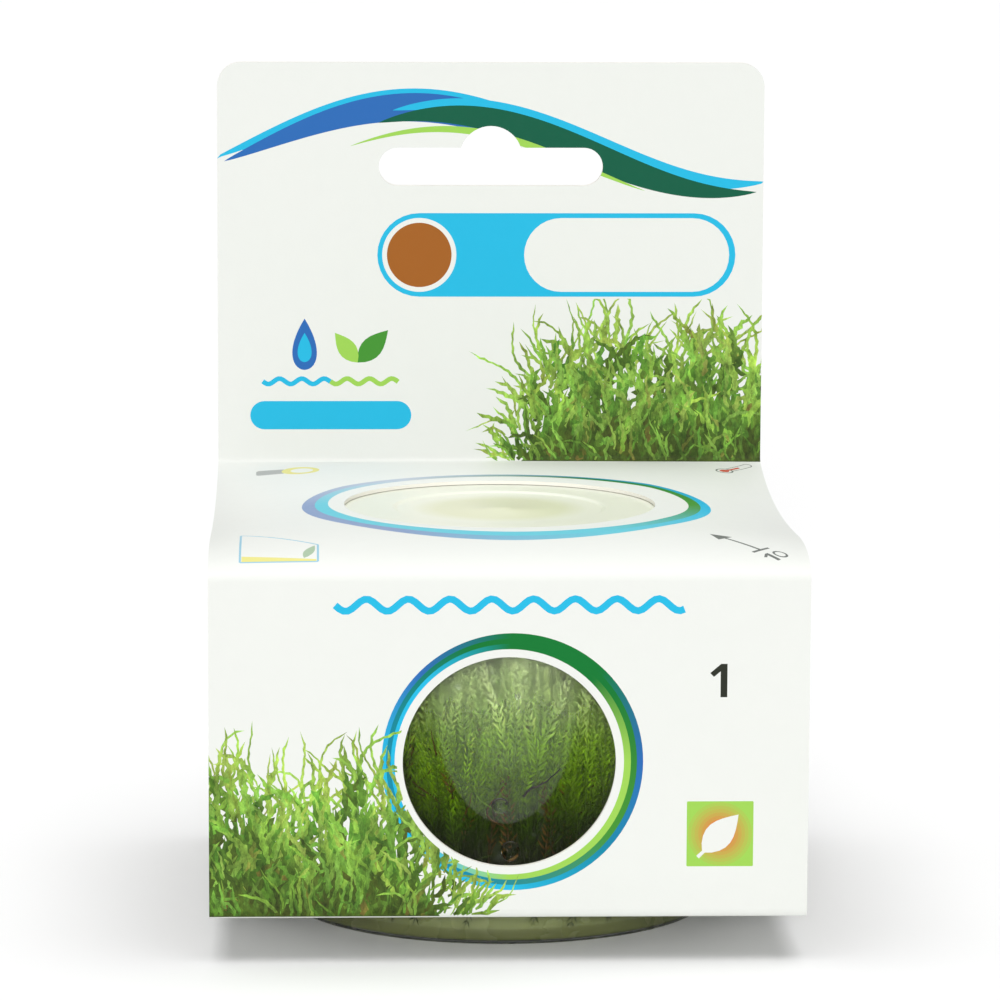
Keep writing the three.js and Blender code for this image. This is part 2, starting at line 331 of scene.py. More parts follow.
def add_glow(tree, output, shader, colour, share):
    """Lets a share of the light come through a thin surface."""
    glow = tree.nodes.new("ShaderNodeBsdfTranslucent")
    tree.links.new(colour, glow.inputs["Color"])
    add_blend(tree, output, shader, glow).default_value = share


def pass_shadow_rays(tree, output, shader, colour):
    """Lets shadow rays pass through a clear surface, tinted by a colour."""
    path = tree.nodes.new("ShaderNodeLightPath")
    through = tree.nodes.new("ShaderNodeBsdfTransparent")
    through.inputs["Color"].default_value = colour
    tree.links.new(path.outputs["Is Shadow Ray"], add_blend(tree, output, shader, through))


def card_material():
    """Clay-coated folding card: printed ink under a thin satin varnish. Alpha 0 marks printed moss."""
    material, tree, shader, _ = new_material("printed_card")
    attribute = add_attribute(tree, "print")
    mottle = add_range(tree, add_noise(tree, 420, 5), 0.985, 1.005)
    patches = add_range(tree, add_noise(tree, 240, 3, 0.6, (1, 1, 0.7)), 0.2, 1.8)
    specks = add_range(tree, add_noise(tree, 1300, 5, 0.8, (1, 1, 0.5)), -0.6, 2.6)
    leaves = add_product(tree, patches, specks)
    change = tree.nodes.new("ShaderNodeMix")
    tree.links.new(attribute["Alpha"], change.inputs["Factor"])
    tree.links.new(leaves, change.inputs["A"])
    tree.links.new(mottle, change.inputs["B"])
    colour = add_scaled_colour(tree, attribute["Color"], change.outputs["Result"])
    tree.links.new(colour, shader.inputs["Base Color"])
    add_roughness(tree, shader, 900, 3, 0.42, 0.58)
    shader.inputs["Specular IOR Level"].default_value = 0.14
    add_bump(tree, shader, add_noise(tree, 2600, 4, 0.6), 0.25, 0.00004)
    return material


def clear_material():
    """Clear moulded plastic, fogged towards the lid. Shadow rays pass it, so that the moss inside is lit."""
    material, tree, shader, output = new_material("clear_plastic")
    shader.inputs["Base Color"].default_value = (0.96, 0.985, 0.965, 1)
    shader.inputs["Transmission Weight"].default_value = 1.0
    shader.inputs["IOR"].default_value = 1.46
    streaks = add_range(tree, add_noise(tree, 420, 5, 0.7, (1, 1, 0.4)), 0.2, 1.5)
    fog = add_product(tree, add_height(tree, FOG_LOW, FOG_HIGH), streaks)
    tree.links.new(add_range(tree, fog, 0.006, FOG_ROUGHNESS), shader.inputs["Roughness"])
    add_bump(tree, shader, add_noise(tree, 90, 2), 0.08, 0.0001)
    pass_shadow_rays(tree, output, shader, (0.95, 0.97, 0.95, 1))
    return material


def lid_material():
    """Milky plastic that lets soft light through, yellower in the dish's middle."""
    material, tree, shader, output = new_material("milky_plastic")
    outwards = add_radius(tree, DISH_TONE_INNER, DISH_TONE_OUTER)
    tone = add_tone(tree, outwards, (0.85, 0.86, 0.64, 1), (0.93, 0.94, 0.82, 1))
    tree.links.new(tone, shader.inputs["Base Color"])
    add_roughness(tree, shader, 500, 3, 0.28, 0.42)
    add_bump(tree, shader, add_noise(tree, 700, 3), 0.15, 0.00005)
    add_glow(tree, output, shader, tone, 0.22)
    return material


def gel_material():
    """Cloudy olive nutrient gel."""
    material, tree, shader, _ = new_material("nutrient_gel")
    clouds = add_noise(tree, 110, 3, 0.5, (0.3, 0.3, 2.5))
    tone = add_tone(tree, clouds, (0.124, 0.137, 0.047, 1), (0.158, 0.171, 0.058, 1))
    tree.links.new(tone, shader.inputs["Base Color"])
    shader.inputs["Transmission Weight"].default_value = 0.12
    shader.inputs["IOR"].default_value = 1.34
    add_roughness(tree, shader, 300, 2, 0.2, 0.34)
    add_bump(tree, shader, add_noise(tree, 260, 3), 0.2, 0.0002)
    return material


def water_material():
    """Condensed water."""
    material, tree, shader, output = new_material("condensed_water")
    shader.inputs["Transmission Weight"].default_value = 1.0
    shader.inputs["IOR"].default_value = 1.33
    add_roughness(tree, shader, 900, 2, 0.0, 0.05)
    pass_shadow_rays(tree, output, shader, (1, 1, 1, 1))
    return material


def moss_material():
    """Wet moss leaves, one cell thick: glossy, and bright where light comes through."""
    material, tree, shader, output = new_material("moss_leaf")
    change = add_range(tree, add_noise(tree, 700, 3), 0.72, 1.25)
    colour = add_scaled_colour(tree, add_attribute(tree, "leaf")["Color"], change)
    tree.links.new(colour, shader.inputs["Base Color"])
    add_roughness(tree, shader, 1500, 2, 0.26, 0.5)
    shader.inputs["Specular IOR Level"].default_value = 0.12
    add_glow(tree, output, shader, colour, 0.4)
    return material


# Meshes

def place_object(name, data):
    """A new object in the scene."""
    made = bpy.data.objects.new(name, data)
    bpy.context.scene.collection.objects.link(made)
    return made


def new_piece(name, points_mm, faces, material):
    """A smooth-shaded mesh object from points in millimetres."""
    mesh = bpy.data.meshes.new(name)
    mesh.from_pydata([tuple(c * MM for c in p) for p in points_mm], [], faces)
    mesh.materials.append(material)
    mesh.shade_smooth()
    return place_object(name, mesh)


def new_triangles(name, points_mm, triangles, material):
    """A mesh object of many triangles, from arrays, in millimetres."""
    mesh = bpy.data.meshes.new(name)
    mesh.vertices.add(len(points_mm))
    mesh.vertices.foreach_set("co", (np.asarray(points_mm) * MM).astype(np.float32).ravel())
    mesh.loops.add(len(triangles) * 3)
    mesh.loops.foreach_set("vertex_index", np.asarray(triangles, dtype=np.int32).ravel())
    mesh.polygons.add(len(triangles))
    mesh.polygons.foreach_set("loop_start", np.arange(0, len(triangles) * 3, 3, dtype=np.int32))
    mesh.update(calc_edges=True)
    mesh.materials.append(material)
    return place_object(name, mesh)


def store_colours(piece, name, domain, colours):
    """Stores one linear colour for each vertex or corner of a piece, with or without an alpha value."""
    layer = piece.data.color_attributes.new(name, "FLOAT_COLOR", domain)
    colours = np.asarray(colours, dtype=np.float32)
    full = np.ones((len(colours), 4), dtype=np.float32)
    full[:, :colours.shape[1]] = colours
    layer.data.foreach_set("color", full.ravel())


def turn_profile(name, profile, material, sharp=0.6):
    """A closed profile of (radius, height) turned about Z, smooth but for its sharp corners."""
    points = []
    rings = []
    for radius, height in profile:
        if radius == 0:
            rings.append([len(points)] * TURN_STEPS)
            points.append((0, 0, height))
        else:
            rings.append(list(range(len(points), len(points) + TURN_STEPS)))
            for i in range(TURN_STEPS):
                angle = 2 * math.pi * i / TURN_STEPS
                points.append((radius * math.cos(angle), radius * math.sin(angle), height))
    faces = []
    for below, above in zip(rings, rings[1:]):
        for i in range(TURN_STEPS):
            j = (i + 1) % TURN_STEPS
            corners = [below[i], below[j], above[j], above[i]]
            faces.append([c for k, c in enumerate(corners) if c != corners[k - 1]])
    piece = new_piece(name, points, faces, material)
    piece.data.set_sharp_from_angle(angle=sharp)
    return piece


def rounded(profile, radii):
    """A profile with each corner that has a radius drawn as a curve."""
    result = []
    for i, point in enumerate(profile):
        radius = radii.get(i, 0)
        if not radius:
            result.append(point)
            continue
        here = Vector(point)
        before = Vector(profile[i - 1])
        after = Vector(profile[(i + 1) % len(profile)])
        start = here + (before - here).normalized() * radius
        end = here + (after - here).normalized() * radius
        result.extend(bezier(start, here, end, CORNER_STEPS))
    return result


def bezier(start, control, end, steps):
    """Points along a quadratic curve, both ends included."""
    points = []
    for i in range(steps + 1):
        t = i / steps
        points.append(tuple(
            (1 - t) ** 2 * a + 2 * t * (1 - t) * b + t ** 2 * c for a, b, c in zip(start, control, end)
        ))
    return points


# Card sleeve: the strip is drawn flat, printed, cut out, and then folded

def strip_rows(inset):
    """The folded strip from the side as (y, z) rows, from the header's top round to the back's top."""
    back = BACK - inset
    front = FRONT + inset
    low = SLEEVE_BOTTOM + inset
    crease = CREASE_TOP - inset
    level = PANEL_TOP - inset
    rise = math.atan2(PANEL_TOP - FRONT_TOP, PANEL_SHOULDER - FRONT)
    corner = FRONT_TOP - inset * (1 - math.sin(rise)) / math.cos(rise)
    shoulder = PANEL_SHOULDER + inset * math.tan(rise / 2)
    header = BACK - 2 * CARD + min(inset, CARD - GLUE_GAP)
    tight = CREASE_FOLD + inset
    fold = FRONT_FOLD - inset
    small = BOTTOM_FOLD - inset
    fold_end = (front + fold * math.cos(rise), corner + fold * math.sin(rise))
    rows = [(header, HEADER_TOP)]
    rows += bezier((header, crease + tight), (header, crease), (header - tight, crease - 0.1 * tight), 5)
    rows += bezier(rows[-1], (PANEL_TURN, level), (PANEL_REST, level), 10)[1:]
    rows += bezier((PANEL_REST, level), (0, level), (PANEL_BEND, level), 8)[1:]
    rows += bezier((PANEL_BEND, level), (shoulder, level), fold_end, 16)[1:]
    rows += bezier(fold_end, (front, corner), (front, corner - fold), 6)[1:]
    rows += bezier((front, low + small), (front, low), (front + small, low), 6)
    rows += bezier((back - small, low), (back, low), (back, low + small), 6)
    rows += [(back, HEADER_TOP)]
    return rows


OUTER_ROWS = strip_rows(0.0)
INNER_ROWS = strip_rows(CARD)
ROW_LENGTHS = [0.0]
for start_row, end_row in zip(OUTER_ROWS, OUTER_ROWS[1:]):
    ROW_LENGTHS.append(ROW_LENGTHS[-1] + math.dist(start_row, end_row))
STRIP_LENGTH = ROW_LENGTHS[-1]


def along(index, y=None, z=None):
    """The strip's length at a height or depth, on the stretch after the row of that index."""
    (y0, z0), (y1, z1) = OUTER_ROWS[index], OUTER_ROWS[index + 1]
    share = (y - y0) / (y1 - y0) if z is None else (z - z0) / (z1 - z0)
    return ROW_LENGTHS[index] + share * (ROW_LENGTHS[index + 1] - ROW_LENGTHS[index])


# Rows where one stretch of the strip ends and the next begins, counted from the curves' steps
CREASE_ROW = 6
FOLD_ROW = CREASE_ROW + 34
FRONT_ROW = FOLD_ROW + 6
BASE_ROW = FRONT_ROW + 7
BACK_ROW = BASE_ROW + 7


def on_header(z):
    """The strip's length at a height on the header's front."""
    return along(0, z=z)


def on_front(z):
    """The strip's length at a height on the front panel."""
    return along(FRONT_ROW, z=z)


def on_back(z):
    """The strip's length at a height on the back panel."""
    return along(BACK_ROW, z=z)


def on_base(y):
    """The strip's length at a depth on the bottom panel."""
    return along(BASE_ROW, y=y)


def on_top(y):
    """The strip's length at a depth on the top panel."""
    for index in range(CREASE_ROW, FOLD_ROW):
        if OUTER_ROWS[index][0] >= y >= OUTER_ROWS[index + 1][0]:
            return along(index, y=y)
    return ROW_LENGTHS[FOLD_ROW]


def arc(u, v, radius, start, sweep, steps):
    """Points along an arc on the flat strip, both ends included."""
    angles = [start + sweep * i / steps for i in range(steps + 1)]
    return [(u + radius * math.cos(angle), v + radius * math.sin(angle)) for angle in angles]


def circle(u, v, radius, steps=96):
    """A closed outline of a circle on the flat strip."""
    return arc(u, v, radius, 0, 2 * math.pi, steps)[:-1]


def bar(u0, u1, v, height):
    """A bar with round ends, from u0 to u1, centred on v."""
    half = height / 2
    right = arc(u1 - half, v, half, -math.pi / 2, math.pi, END_STEPS)
    return right + arc(u0 + half, v, half, math.pi / 2, math.pi, END_STEPS)


def rounded_box(u, v, width, height, corner, steps):
    """A box with rounded corners, centred on u and v."""
    outline = []
    for quarter, (su, sv) in enumerate(((1, 1), (-1, 1), (-1, -1), (1, -1))):
        for i in range(steps + 1):
            angle = math.pi / 2 * (quarter + i / steps)
            outline.append((
                u + su * (width / 2 - corner) + corner * math.cos(angle),
                v + sv * (height / 2 - corner) + corner * math.sin(angle),
            ))
    return outline


def ribbon(path, widths):
    """A band along a path of (u, v) points, with a width at each point."""
    left, right = [], []
    for i, (point, width) in enumerate(zip(path, widths)):
        ahead = Vector(path[min(i + 1, len(path) - 1)])
        behind = Vector(path[max(i - 1, 0)])
        way = (ahead - behind).normalized()
        side = Vector((-way.y, way.x)) * width / 2
        left.append(tuple(Vector(point) + side))
        right.append(tuple(Vector(point) - side))
    return left + right[::-1]


def hang_hole(v, up):
    """The hanging slot with its round bump, at a length on the strip. up is -1 where up is backwards."""
    half = SLOT_GAUGE / 2
    reach = SLOT_WIDTH / 2
    begin = math.asin((half - BUMP_RISE) / BUMP_RADIUS)
    right = arc(reach - half, 0, half, -math.pi / 2, math.pi, END_STEPS)
    bump = arc(0, BUMP_RISE, BUMP_RADIUS, begin, math.pi - 2 * begin, 18)
    left = arc(-reach + half, 0, half, math.pi / 2, math.pi, END_STEPS)
    return [(x, v + up * y) for x, y in right + bump + left]


def plain(colour):
    """A print of one colour."""
    return lambda u, v: colour


def fade(low_v, high_v, low, high):
    """A print whose colour changes along the strip."""
    def colour_at(u, v):
        share = min(1.0, max(0.0, (v - low_v) / (high_v - low_v)))
        return mix(low, high, share)
    return colour_at


def counter_clockwise(outline):
    """An outline in the order that the triangulation needs."""
    area = 0.0
    for (x0, y0), (x1, y1) in zip(outline, outline[1:] + outline[:1]):
        area += x0 * y1 - x1 * y0
    return outline if area > 0 else outline[::-1]


class Print:
    """What is drawn on the flat strip, the last shape on top. A shape with no colour is cut out."""

    def __init__(self):
        self.outlines = []
        self.colours = []
        self.leafy = []

    def add(self, outline, colour, leafy):
        self.outlines.append(counter_clockwise(outline))
        self.colours.append(colour)
        self.leafy.append(leafy)

    def draw(self, outline, colour, leafy=False):
        self.add(outline, colour if callable(colour) else plain(colour), leafy)

    def cut(self, outline):
        self.add(outline, None, False)


def strand(rng, u, v, length, lean, bend, width):
    """A wavering, ragged moss strand that grows towards smaller v and ends in a point."""
    steps = max(5, int(length / STRAND_STEP))
    waver = rng.uniform(0, 6)
    left, right = [], []
    here = Vector((u, v))
    for i in range(steps):
        t = i / steps
        angle = lean + bend * t + 0.3 * math.sin(5 * t + waver)
        ahead = Vector((math.sin(angle), -math.cos(angle)))
        aside = Vector((math.cos(angle), math.sin(angle)))
        half = width / 2 * min(1.0, 0.3 + 3 * t) * (1 - 0.7 * t)
        for edge, hand, turn in ((left, -1, 0), (right, 1, 1)):
            tooth = rng.uniform(0.15, 0.55) * width if i % 2 == turn else 0
            edge.append(here + aside * hand * (half * rng.uniform(0.8, 1.1) + tooth) + ahead * tooth * 0.8)
        here = here + ahead * STRAND_STEP
    return [tuple(p) for p in left + [here + ahead * STRAND_STEP] + right[::-1]]


def inside_panel(outline, low_v, high_v):
    """An outline kept inside the strip's width and between two lengths."""
    edge = WIDTH / 2
    return [(min(edge, max(-edge, u)), min(high_v, max(low_v, v))) for u, v in outline]


def moss_tone(rng, share, light):
    """A printed moss colour, from 0 at the bank's foot to 1 at its tips, for a dark or a light strand."""
    tone = mix(MOSS_DARK, MOSS_MID, min(1.0, max(0.0, share * 1.3 + light)))
    tone = mix(tone, MOSS_LIGHT, min(1.0, max(0.0, share * 0.9 + light - 0.45)) * rng.uniform(0.6, 1.0))
    return tuple(c * rng.uniform(0.85, 1.15) for c in tone)


def moss_bank(sheet, foot, low_v, height_at, fringe_at, u_low, u_high, seed):
    """A printed bank of moss: strands of several kinds, which lean out and thin out at its open end."""
    rng = random.Random(seed)
    for count, low, high, length, wide, light in MOSS_STRANDS:
        for i in range(count):
            u = u_low + (u_high - u_low) * (i + rng.random()) / count
            fringe = fringe_at(u)
            if rng.random() < abs(fringe) * 0.75:
                continue
            height = height_at(u)
            start = foot - max(0.15, rng.uniform(low, high) * height)
            reach = rng.uniform(0.7, 1.2) * length * min(1.0, 0.4 + height / 14)
            lean = rng.gauss(0, 0.42) + fringe
            width = wide * rng.uniform(0.7, 1.3) * (1 - 0.4 * abs(fringe))
            outline = strand(rng, u, start, reach, lean, rng.gauss(0, 0.7), width)
            if max(v for _, v in outline) > foot + 0.2:
                continue
            peak = min(v for _, v in outline)
            clump = 0.2 * math.sin(0.8 * u + 0.25 * start + seed)
            shade = light + clump + rng.gauss(0, 0.14) + 0.75 * abs(fringe)
            root = moss_tone(rng, (foot - start) / (height + 6), shade)
            tip = moss_tone(rng, (foot - peak) / (height + 6), shade + 0.15)
            if rng.random() < 0.05:
                root = mix(root, MOSS_BROWN, 0.6)
            sheet.draw(inside_panel(outline, low_v, foot), fade(peak, start, tip, root), True)


def moss_body(sheet, foot, height_at, u_low, u_high, open_end, seed):
    """The dense body of a bank: three ragged shapes, darker towards its foot, lower at the open end."""
    rng = random.Random(seed)
    for reach, tone in ((0.72, 0.62), (0.52, 0.3), (0.26, 0.0)):
        outline = [(u_high, foot), (u_low, foot)]
        steps = int((u_high - u_low) / 0.5)
        for i in range(steps + 1):
            u = u_low + (u_high - u_low) * i / steps
            rise = height_at(u) * reach * rng.uniform(0.55, 1.2) * min(1.0, abs(u - open_end) / 5)
            outline.append((u, foot - max(0.05, rise)))
        high = mix(MOSS_DARK, MOSS_MID, tone + 0.3)
        low = mix(MOSS_DARK, MOSS_MID, tone)
        sheet.draw(outline, fade(foot - 16 * reach, foot, high, low), True)


def leaf_shape(u, v, length, width, angle):
    """A pointed leaf from its foot at u and v."""
    outline = []
    for side in (1, -1):
        for i in range(9):
            t = i / 8 if side == 1 else 1 - i / 8
            across = side * width / 2 * math.sin(math.pi * t ** 0.85)
            along_leaf = length * t
            outline.append((
                u + along_leaf * math.sin(angle) + across * math.cos(angle),
                v - along_leaf * math.cos(angle) + across * math.sin(angle),
            ))
    return outline[:-1]


def drop_shape(u, v, size):
    """A water drop, its point towards smaller v."""
    outline = []
    for i in range(40):
        angle = 2 * math.pi * i / 40
        outline.append((
            u + size * 0.62 * math.sin(angle) * math.sin(angle / 2),
            v - size * math.cos(angle) + size * 0.15,
        ))
    return outline


def wave(u_low, u_high, v, rise, length, phase, width):
    """A wavy band that is widest in its middle and pointed at its ends."""
    steps = 64
    path, widths = [], []
    for i in range(steps + 1):
        t = i / steps
        u = u_low + (u_high - u_low) * t
        path.append((u, v - rise * math.sin(2 * math.pi * u / length + phase)))
        widths.append(0.03 + width * math.sin(math.pi * t) ** 0.8)
    return inside_panel(ribbon(path, widths), 0, STRIP_LENGTH)


def rule(u_low, u_high, v, rise, length, width):
    """A thin wavy line."""
    steps = int((u_high - u_low) / length * 10)
    path = []
    for i in range(steps + 1):
        u = u_low + (u_high - u_low) * i / steps
        path.append((u, v + rise * math.sin(2 * math.pi * (u - u_low) / length)))
    return ribbon(path, [width] * len(path))


def line(start, end, width):
    """A straight line with square ends."""
    return ribbon([tuple(start), tuple(end)], [width, width])


def ring_tones(tones, u0, v0):
    """A print whose colour changes round a centre, through a list of colours that starts at the left."""
    def colour_at(u, v):
        turn = (math.atan2(v - v0, u - u0) + math.pi) / (2 * math.pi) * len(tones)
        index = int(turn) % len(tones)
        return mix(tones[index], tones[(index + 1) % len(tones)], turn - int(turn))
    return colour_at


def turned_outline(outline, u, v, angle):
    """An outline turned about its own origin and moved to a place."""
    across, down = math.cos(angle), math.sin(angle)
    return [(u + x * across - y * down, v + (x * down + y * across)) for x, y in outline]


def digit_one(u, v, height):
    """A plain figure 1."""
    points = [
        (0.07, -0.5), (0.255, -0.5), (0.255, 0.5), (0.055, 0.5), (0.055, -0.275),
        (-0.145, -0.11), (-0.255, -0.225),
    ]
    return [(u + x * height, v + y * height) for x, y in points]


def header_print(sheet):
    """The header: waves, a blank field, a drop with leaves over a blank label and a bank of moss."""
    v = on_header(WAVE_HEIGHT)
    sheet.draw(wave(-39.5, 26, v - 1.3, 6.2, 92, 2.35, 3.4), SKY_BLUE)
    sheet.draw(wave(-38, 24, v - 0.3, 6.2, 92, 2.35, 4.1), DEEP_BLUE)
    sheet.draw(wave(-14, 39.5, v - 1.2, 5.6, 84, 2.1, 3.6), SKY_BLUE)
    sheet.draw(wave(-16, 38, v + 0.1, 5.6, 84, 2.1, 4.0), DARK_GREEN)
    sheet.draw(wave(-20, 22, v + 2.2, 5.6, 84, 2.1, 1.0), LIME)
    foot = ROW_LENGTHS[CREASE_ROW - 1]
    moss_body(sheet, foot, header_bank, 4.5, 39, 4.5, 12)
    moss_bank(sheet, foot, on_header(78.6), header_bank, header_fringe, 1.0, 38.8, 11)
    field = on_header(84.9)
    sheet.draw(bar(-16.2, 35.1, field, 12.0), SKY_BLUE)
    sheet.draw(bar(4.8, 34.2, field, 10.6), WHITE_CARD)
    sheet.draw(circle(-10.2, field, 5.3), WHITE_CARD)
    sheet.draw(circle(-10.2, field, 4.62), BROWN)
    sheet.draw(bar(-34.4, -11.3, on_header(61.8), 4.1), SKY_BLUE)
    sheet.draw(drop_shape(-26.6, on_header(72.6), 3.7), DEEP_BLUE)
    sheet.draw(drop_shape(-26.6, on_header(71.9), 2.1), SKY_BLUE)
    sheet.draw(leaf_shape(-19.0, on_header(69.4), 6.4, 3.0, 0.75), GRASS_GREEN)
    sheet.draw(leaf_shape(-19.0, on_header(69.4), 5.4, 2.6, -0.65), LIME)
    sheet.draw(rule(-32.6, -22.9, on_header(66.7), 0.4, 3.2, 0.7), SKY_BLUE)
    sheet.draw(rule(-22.9, -13.2, on_header(66.7), 0.4, 3.2, 0.7), LIME)


def header_bank(u):
    """The height of the header's bank of moss."""
    if u < 8:
        return 2 + 1.9 * (u - 1)
    return 16.0 + 1.6 * math.sin(0.45 * u) + 1.2 * math.sin(1.1 * u + 1)


def header_fringe(u):
    """How far the header's bank leans out at its left end."""
    return -max(0.0, (10.0 - u) / 11)


def top_print(sheet):
    """The top panel: a ring round the lid hole, an arrow with a cross bar, a tank, a gauge and a lamp."""
    v = on_top(LID_HOLE_BACK)
    slate = mix(DEEP_BLUE, WHITE_CARD, 0.3)
    pale = mix(slate, WHITE_CARD, 0.5)
    outer = (slate, pale, TEAL, SKY_BLUE, PALE_SKY, slate)
    sheet.draw(circle(0.9, v + 0.85, 27.85), ring_tones(outer, 0, v))
    inner = (PALE_SKY, pale, LEAF_GREEN, GRASS_GREEN, PALE_SKY, PALE_SKY)
    sheet.draw(circle(1.1, v + 0.1, 26.3), ring_tones(inner, 0, v))
    sheet.draw(circle(1.2, v - 0.6, 24.6), WHITE_CARD)
    arrow_print(sheet)
    tank_print(sheet)
    gauge_print(sheet)
    lamp_print(sheet)


def arrow_print(sheet):
    """An arrow with a cross bar at its foot and the figure 10 below it."""
    head = Vector((26.75, on_top(-25.95)))
    foot = Vector((32.9, on_top(-33.2)))
    way = (foot - head).normalized()
    side = Vector((-way.y, way.x))
    sheet.draw(line(head + way * 2, foot, 0.4), GREY_INK)
    sheet.draw(line(foot - side * 1.45, foot + side * 1.45, 0.5), GREY_INK)
    neck = head + way * 3
    sheet.draw([tuple(head), tuple(neck + side * 1.25), tuple(neck - side * 1.25)], GREY_INK)
    turn = math.atan2(-way.x, way.y)
    low = foot + way * 2.6 + side * 0.75
    high = low - side * 1.75
    sheet.draw(turned_outline(digit_one(0, 0, 2.5), low.x, low.y, turn), GREY_INK)
    for size, colour in ((1.25, GREY_INK), (0.85, WHITE_CARD)):
        oval = [(0.62 * x, y) for x, y in circle(0, 0, size, 28)]
        sheet.draw(turned_outline(oval, high.x, high.y, turn), colour)


def tank_print(sheet):
    """A tank seen a little from the side, with sand and a leaf in it."""
    rows = [on_top(y) for y in (-24.0, -31.4, -36.6)]
    corners = [(-34.9, rows[0]), (-24.8, rows[1]), (-24.8, rows[2]), (-34.9, rows[2] + 0.1)]
    sand = [(-34.7, rows[2] - 1.6), (-25.0, rows[2] - 0.6), (-25.0, rows[2]), (-34.7, rows[2])]
    sheet.draw(sand, PALE_SAND)
    sheet.draw(leaf_shape(-26.6, rows[2] - 0.9, 4.4, 1.3, 0.32), mix(GRASS_GREEN, WHITE_CARD, 0.45))
    for start, end in zip(corners, corners[1:] + corners[:1]):
        sheet.draw(line(start, end, 0.28), PALE_BLUE)


def gauge_print(sheet):
    """A thermometer, its tube towards the right."""
    start = Vector((33.4, on_top(32.4)))
    end = Vector((36.9, on_top(35.9)))
    way = (end - start).normalized()
    for width, colour in ((1.5, GREY_INK), (1.2, WHITE_CARD)):
        sheet.draw(circle(end.x, end.y, width / 2, 20), colour)
        sheet.draw(line(start, end, width), colour)
    sheet.draw(circle(start.x, start.y, 1.3, 24), GREY_INK)
    sheet.draw(circle(start.x, start.y, 1.05, 24), WHITE_CARD)
    sheet.draw(circle(start.x, start.y, 0.7, 20), RED)
    sheet.draw(line(start, start + way * 3.2, 0.5), RED)


def lamp_print(sheet):
    """A lamp that lies on its side: a grey socket and a yellow bulb."""
    v = on_top(31.0)
    sheet.draw(rounded_box(-31.3, v, 4.4, 3.0, 0.6, 3), PALE_GREY)
    sheet.draw(circle(-27.2, v, 2.7, 32), PALE_SAND)
    sheet.draw(circle(-27.0, v, 1.6, 24), WHITE_CARD)


def front_print(sheet):
    """The front panel: a ring round the window, a wave rule, a figure, a leaf tile and a bank of moss."""
    v = on_front(WINDOW_HEIGHT)
    outer = (SKY_BLUE, DEEP_BLUE, LEAF_GREEN, LEAF_GREEN, DEEP_BLUE, TEAL, SKY_BLUE, SKY_BLUE)
    inner = (SKY_BLUE, SKY_BLUE, LEAF_GREEN, LEAF_GREEN, LIME, LIME, LIME, SKY_BLUE)
    sheet.draw(circle(0.4, v, 17.0), ring_tones(outer, 0, v))
    sheet.draw(circle(0.3, v, 16.3), ring_tones((TEAL, LEAF_GREEN, LEAF_GREEN, GRASS_GREEN, TEAL), 0, v))
    sheet.draw(circle(0.2, v, 15.6), ring_tones(inner, 0, v))
    sheet.draw(circle(0, v, 14.9), WHITE_CARD)
    foot = ROW_LENGTHS[BASE_ROW - 3]
    moss_body(sheet, foot, front_bank, -39, -9.0, -9.0, 6)
    moss_bank(sheet, foot, on_front(33.5), front_bank, front_fringe, -38.8, -1.0, 5)
    sheet.draw(circle(0, v, 14.6), WHITE_CARD)
    sheet.draw(rule(-22.6, 22.6, on_front(47.4), 0.8, 5.4, 0.95), SKY_BLUE)
    sheet.draw(digit_one(27.13, on_front(37.4), 4.4), INK)
    tile = on_front(17.1)
    sheet.draw(rounded_box(27.5, tile, 8.7, 8.65, 0.1, 1), LIME)
    for i in range(6):
        sheet.draw(circle(27.5, tile, 4.2 - 0.45 * i, 40), mix(LIME, ORANGE, (i + 1) / 6.5))
    sheet.draw(leaf_shape(25.2, tile + 2.5, 6.9, 3.6, 0.75), WHITE_CARD)
    sheet.draw(ribbon([(24.6, tile + 3.1), (28.2, tile - 0.4)], [0.5, 0.2]), WHITE_CARD)


def front_bank(u):
    """The height of the front's bank of moss."""
    if u > -9:
        return max(1.2, 4.2 - 0.6 * (u + 5) + 1.4 * math.sin(1.3 * u))
    return 16.0 + 2.2 * math.sin(0.33 * u + 1.2) + 1.3 * math.sin(0.9 * u) + 0.1 * max(0, -24 - u)


def front_fringe(u):
    """How far the front's bank leans out at its right end."""
    return max(0.0, (u + 15.0) / 11)


def strip_outline():
    """The flat strip with its four rounded corners."""
    return rounded_box(0, STRIP_LENGTH / 2, WIDTH, STRIP_LENGTH, HEADER_CORNER, 10)


def flat_strip():
    """Everything on the flat strip: the card, what is printed on it and what is cut out of it."""
    sheet = Print()
    sheet.draw(strip_outline(), WHITE_CARD)
    header_print(sheet)
    top_print(sheet)
    front_print(sheet)
    cut_strip(sheet)
    return sheet


def cut_strip(sheet):
    """What is cut out: the hanging slot in both layers, the lid hole, the window and the hole in the base."""
    sheet.cut(hang_hole(on_header(SLOT_HEIGHT), -1))
    sheet.cut(hang_hole(on_back(SLOT_HEIGHT), 1))
    sheet.cut(circle(0, on_top(LID_HOLE_BACK), LID_HOLE_RADIUS, HOLE_STEPS))
    sheet.cut(circle(0, on_front(WINDOW_HEIGHT), WINDOW_RADIUS, HOLE_STEPS))
    sheet.cut(circle(0, on_base(0), STAND_HOLE_RADIUS, HOLE_STEPS))


def bare_strip():
    """The flat strip's unprinted inside, with the same cuts."""
    sheet = Print()
    sheet.draw(strip_outline(), BARE_CARD)
    cut_strip(sheet)
    return sheet


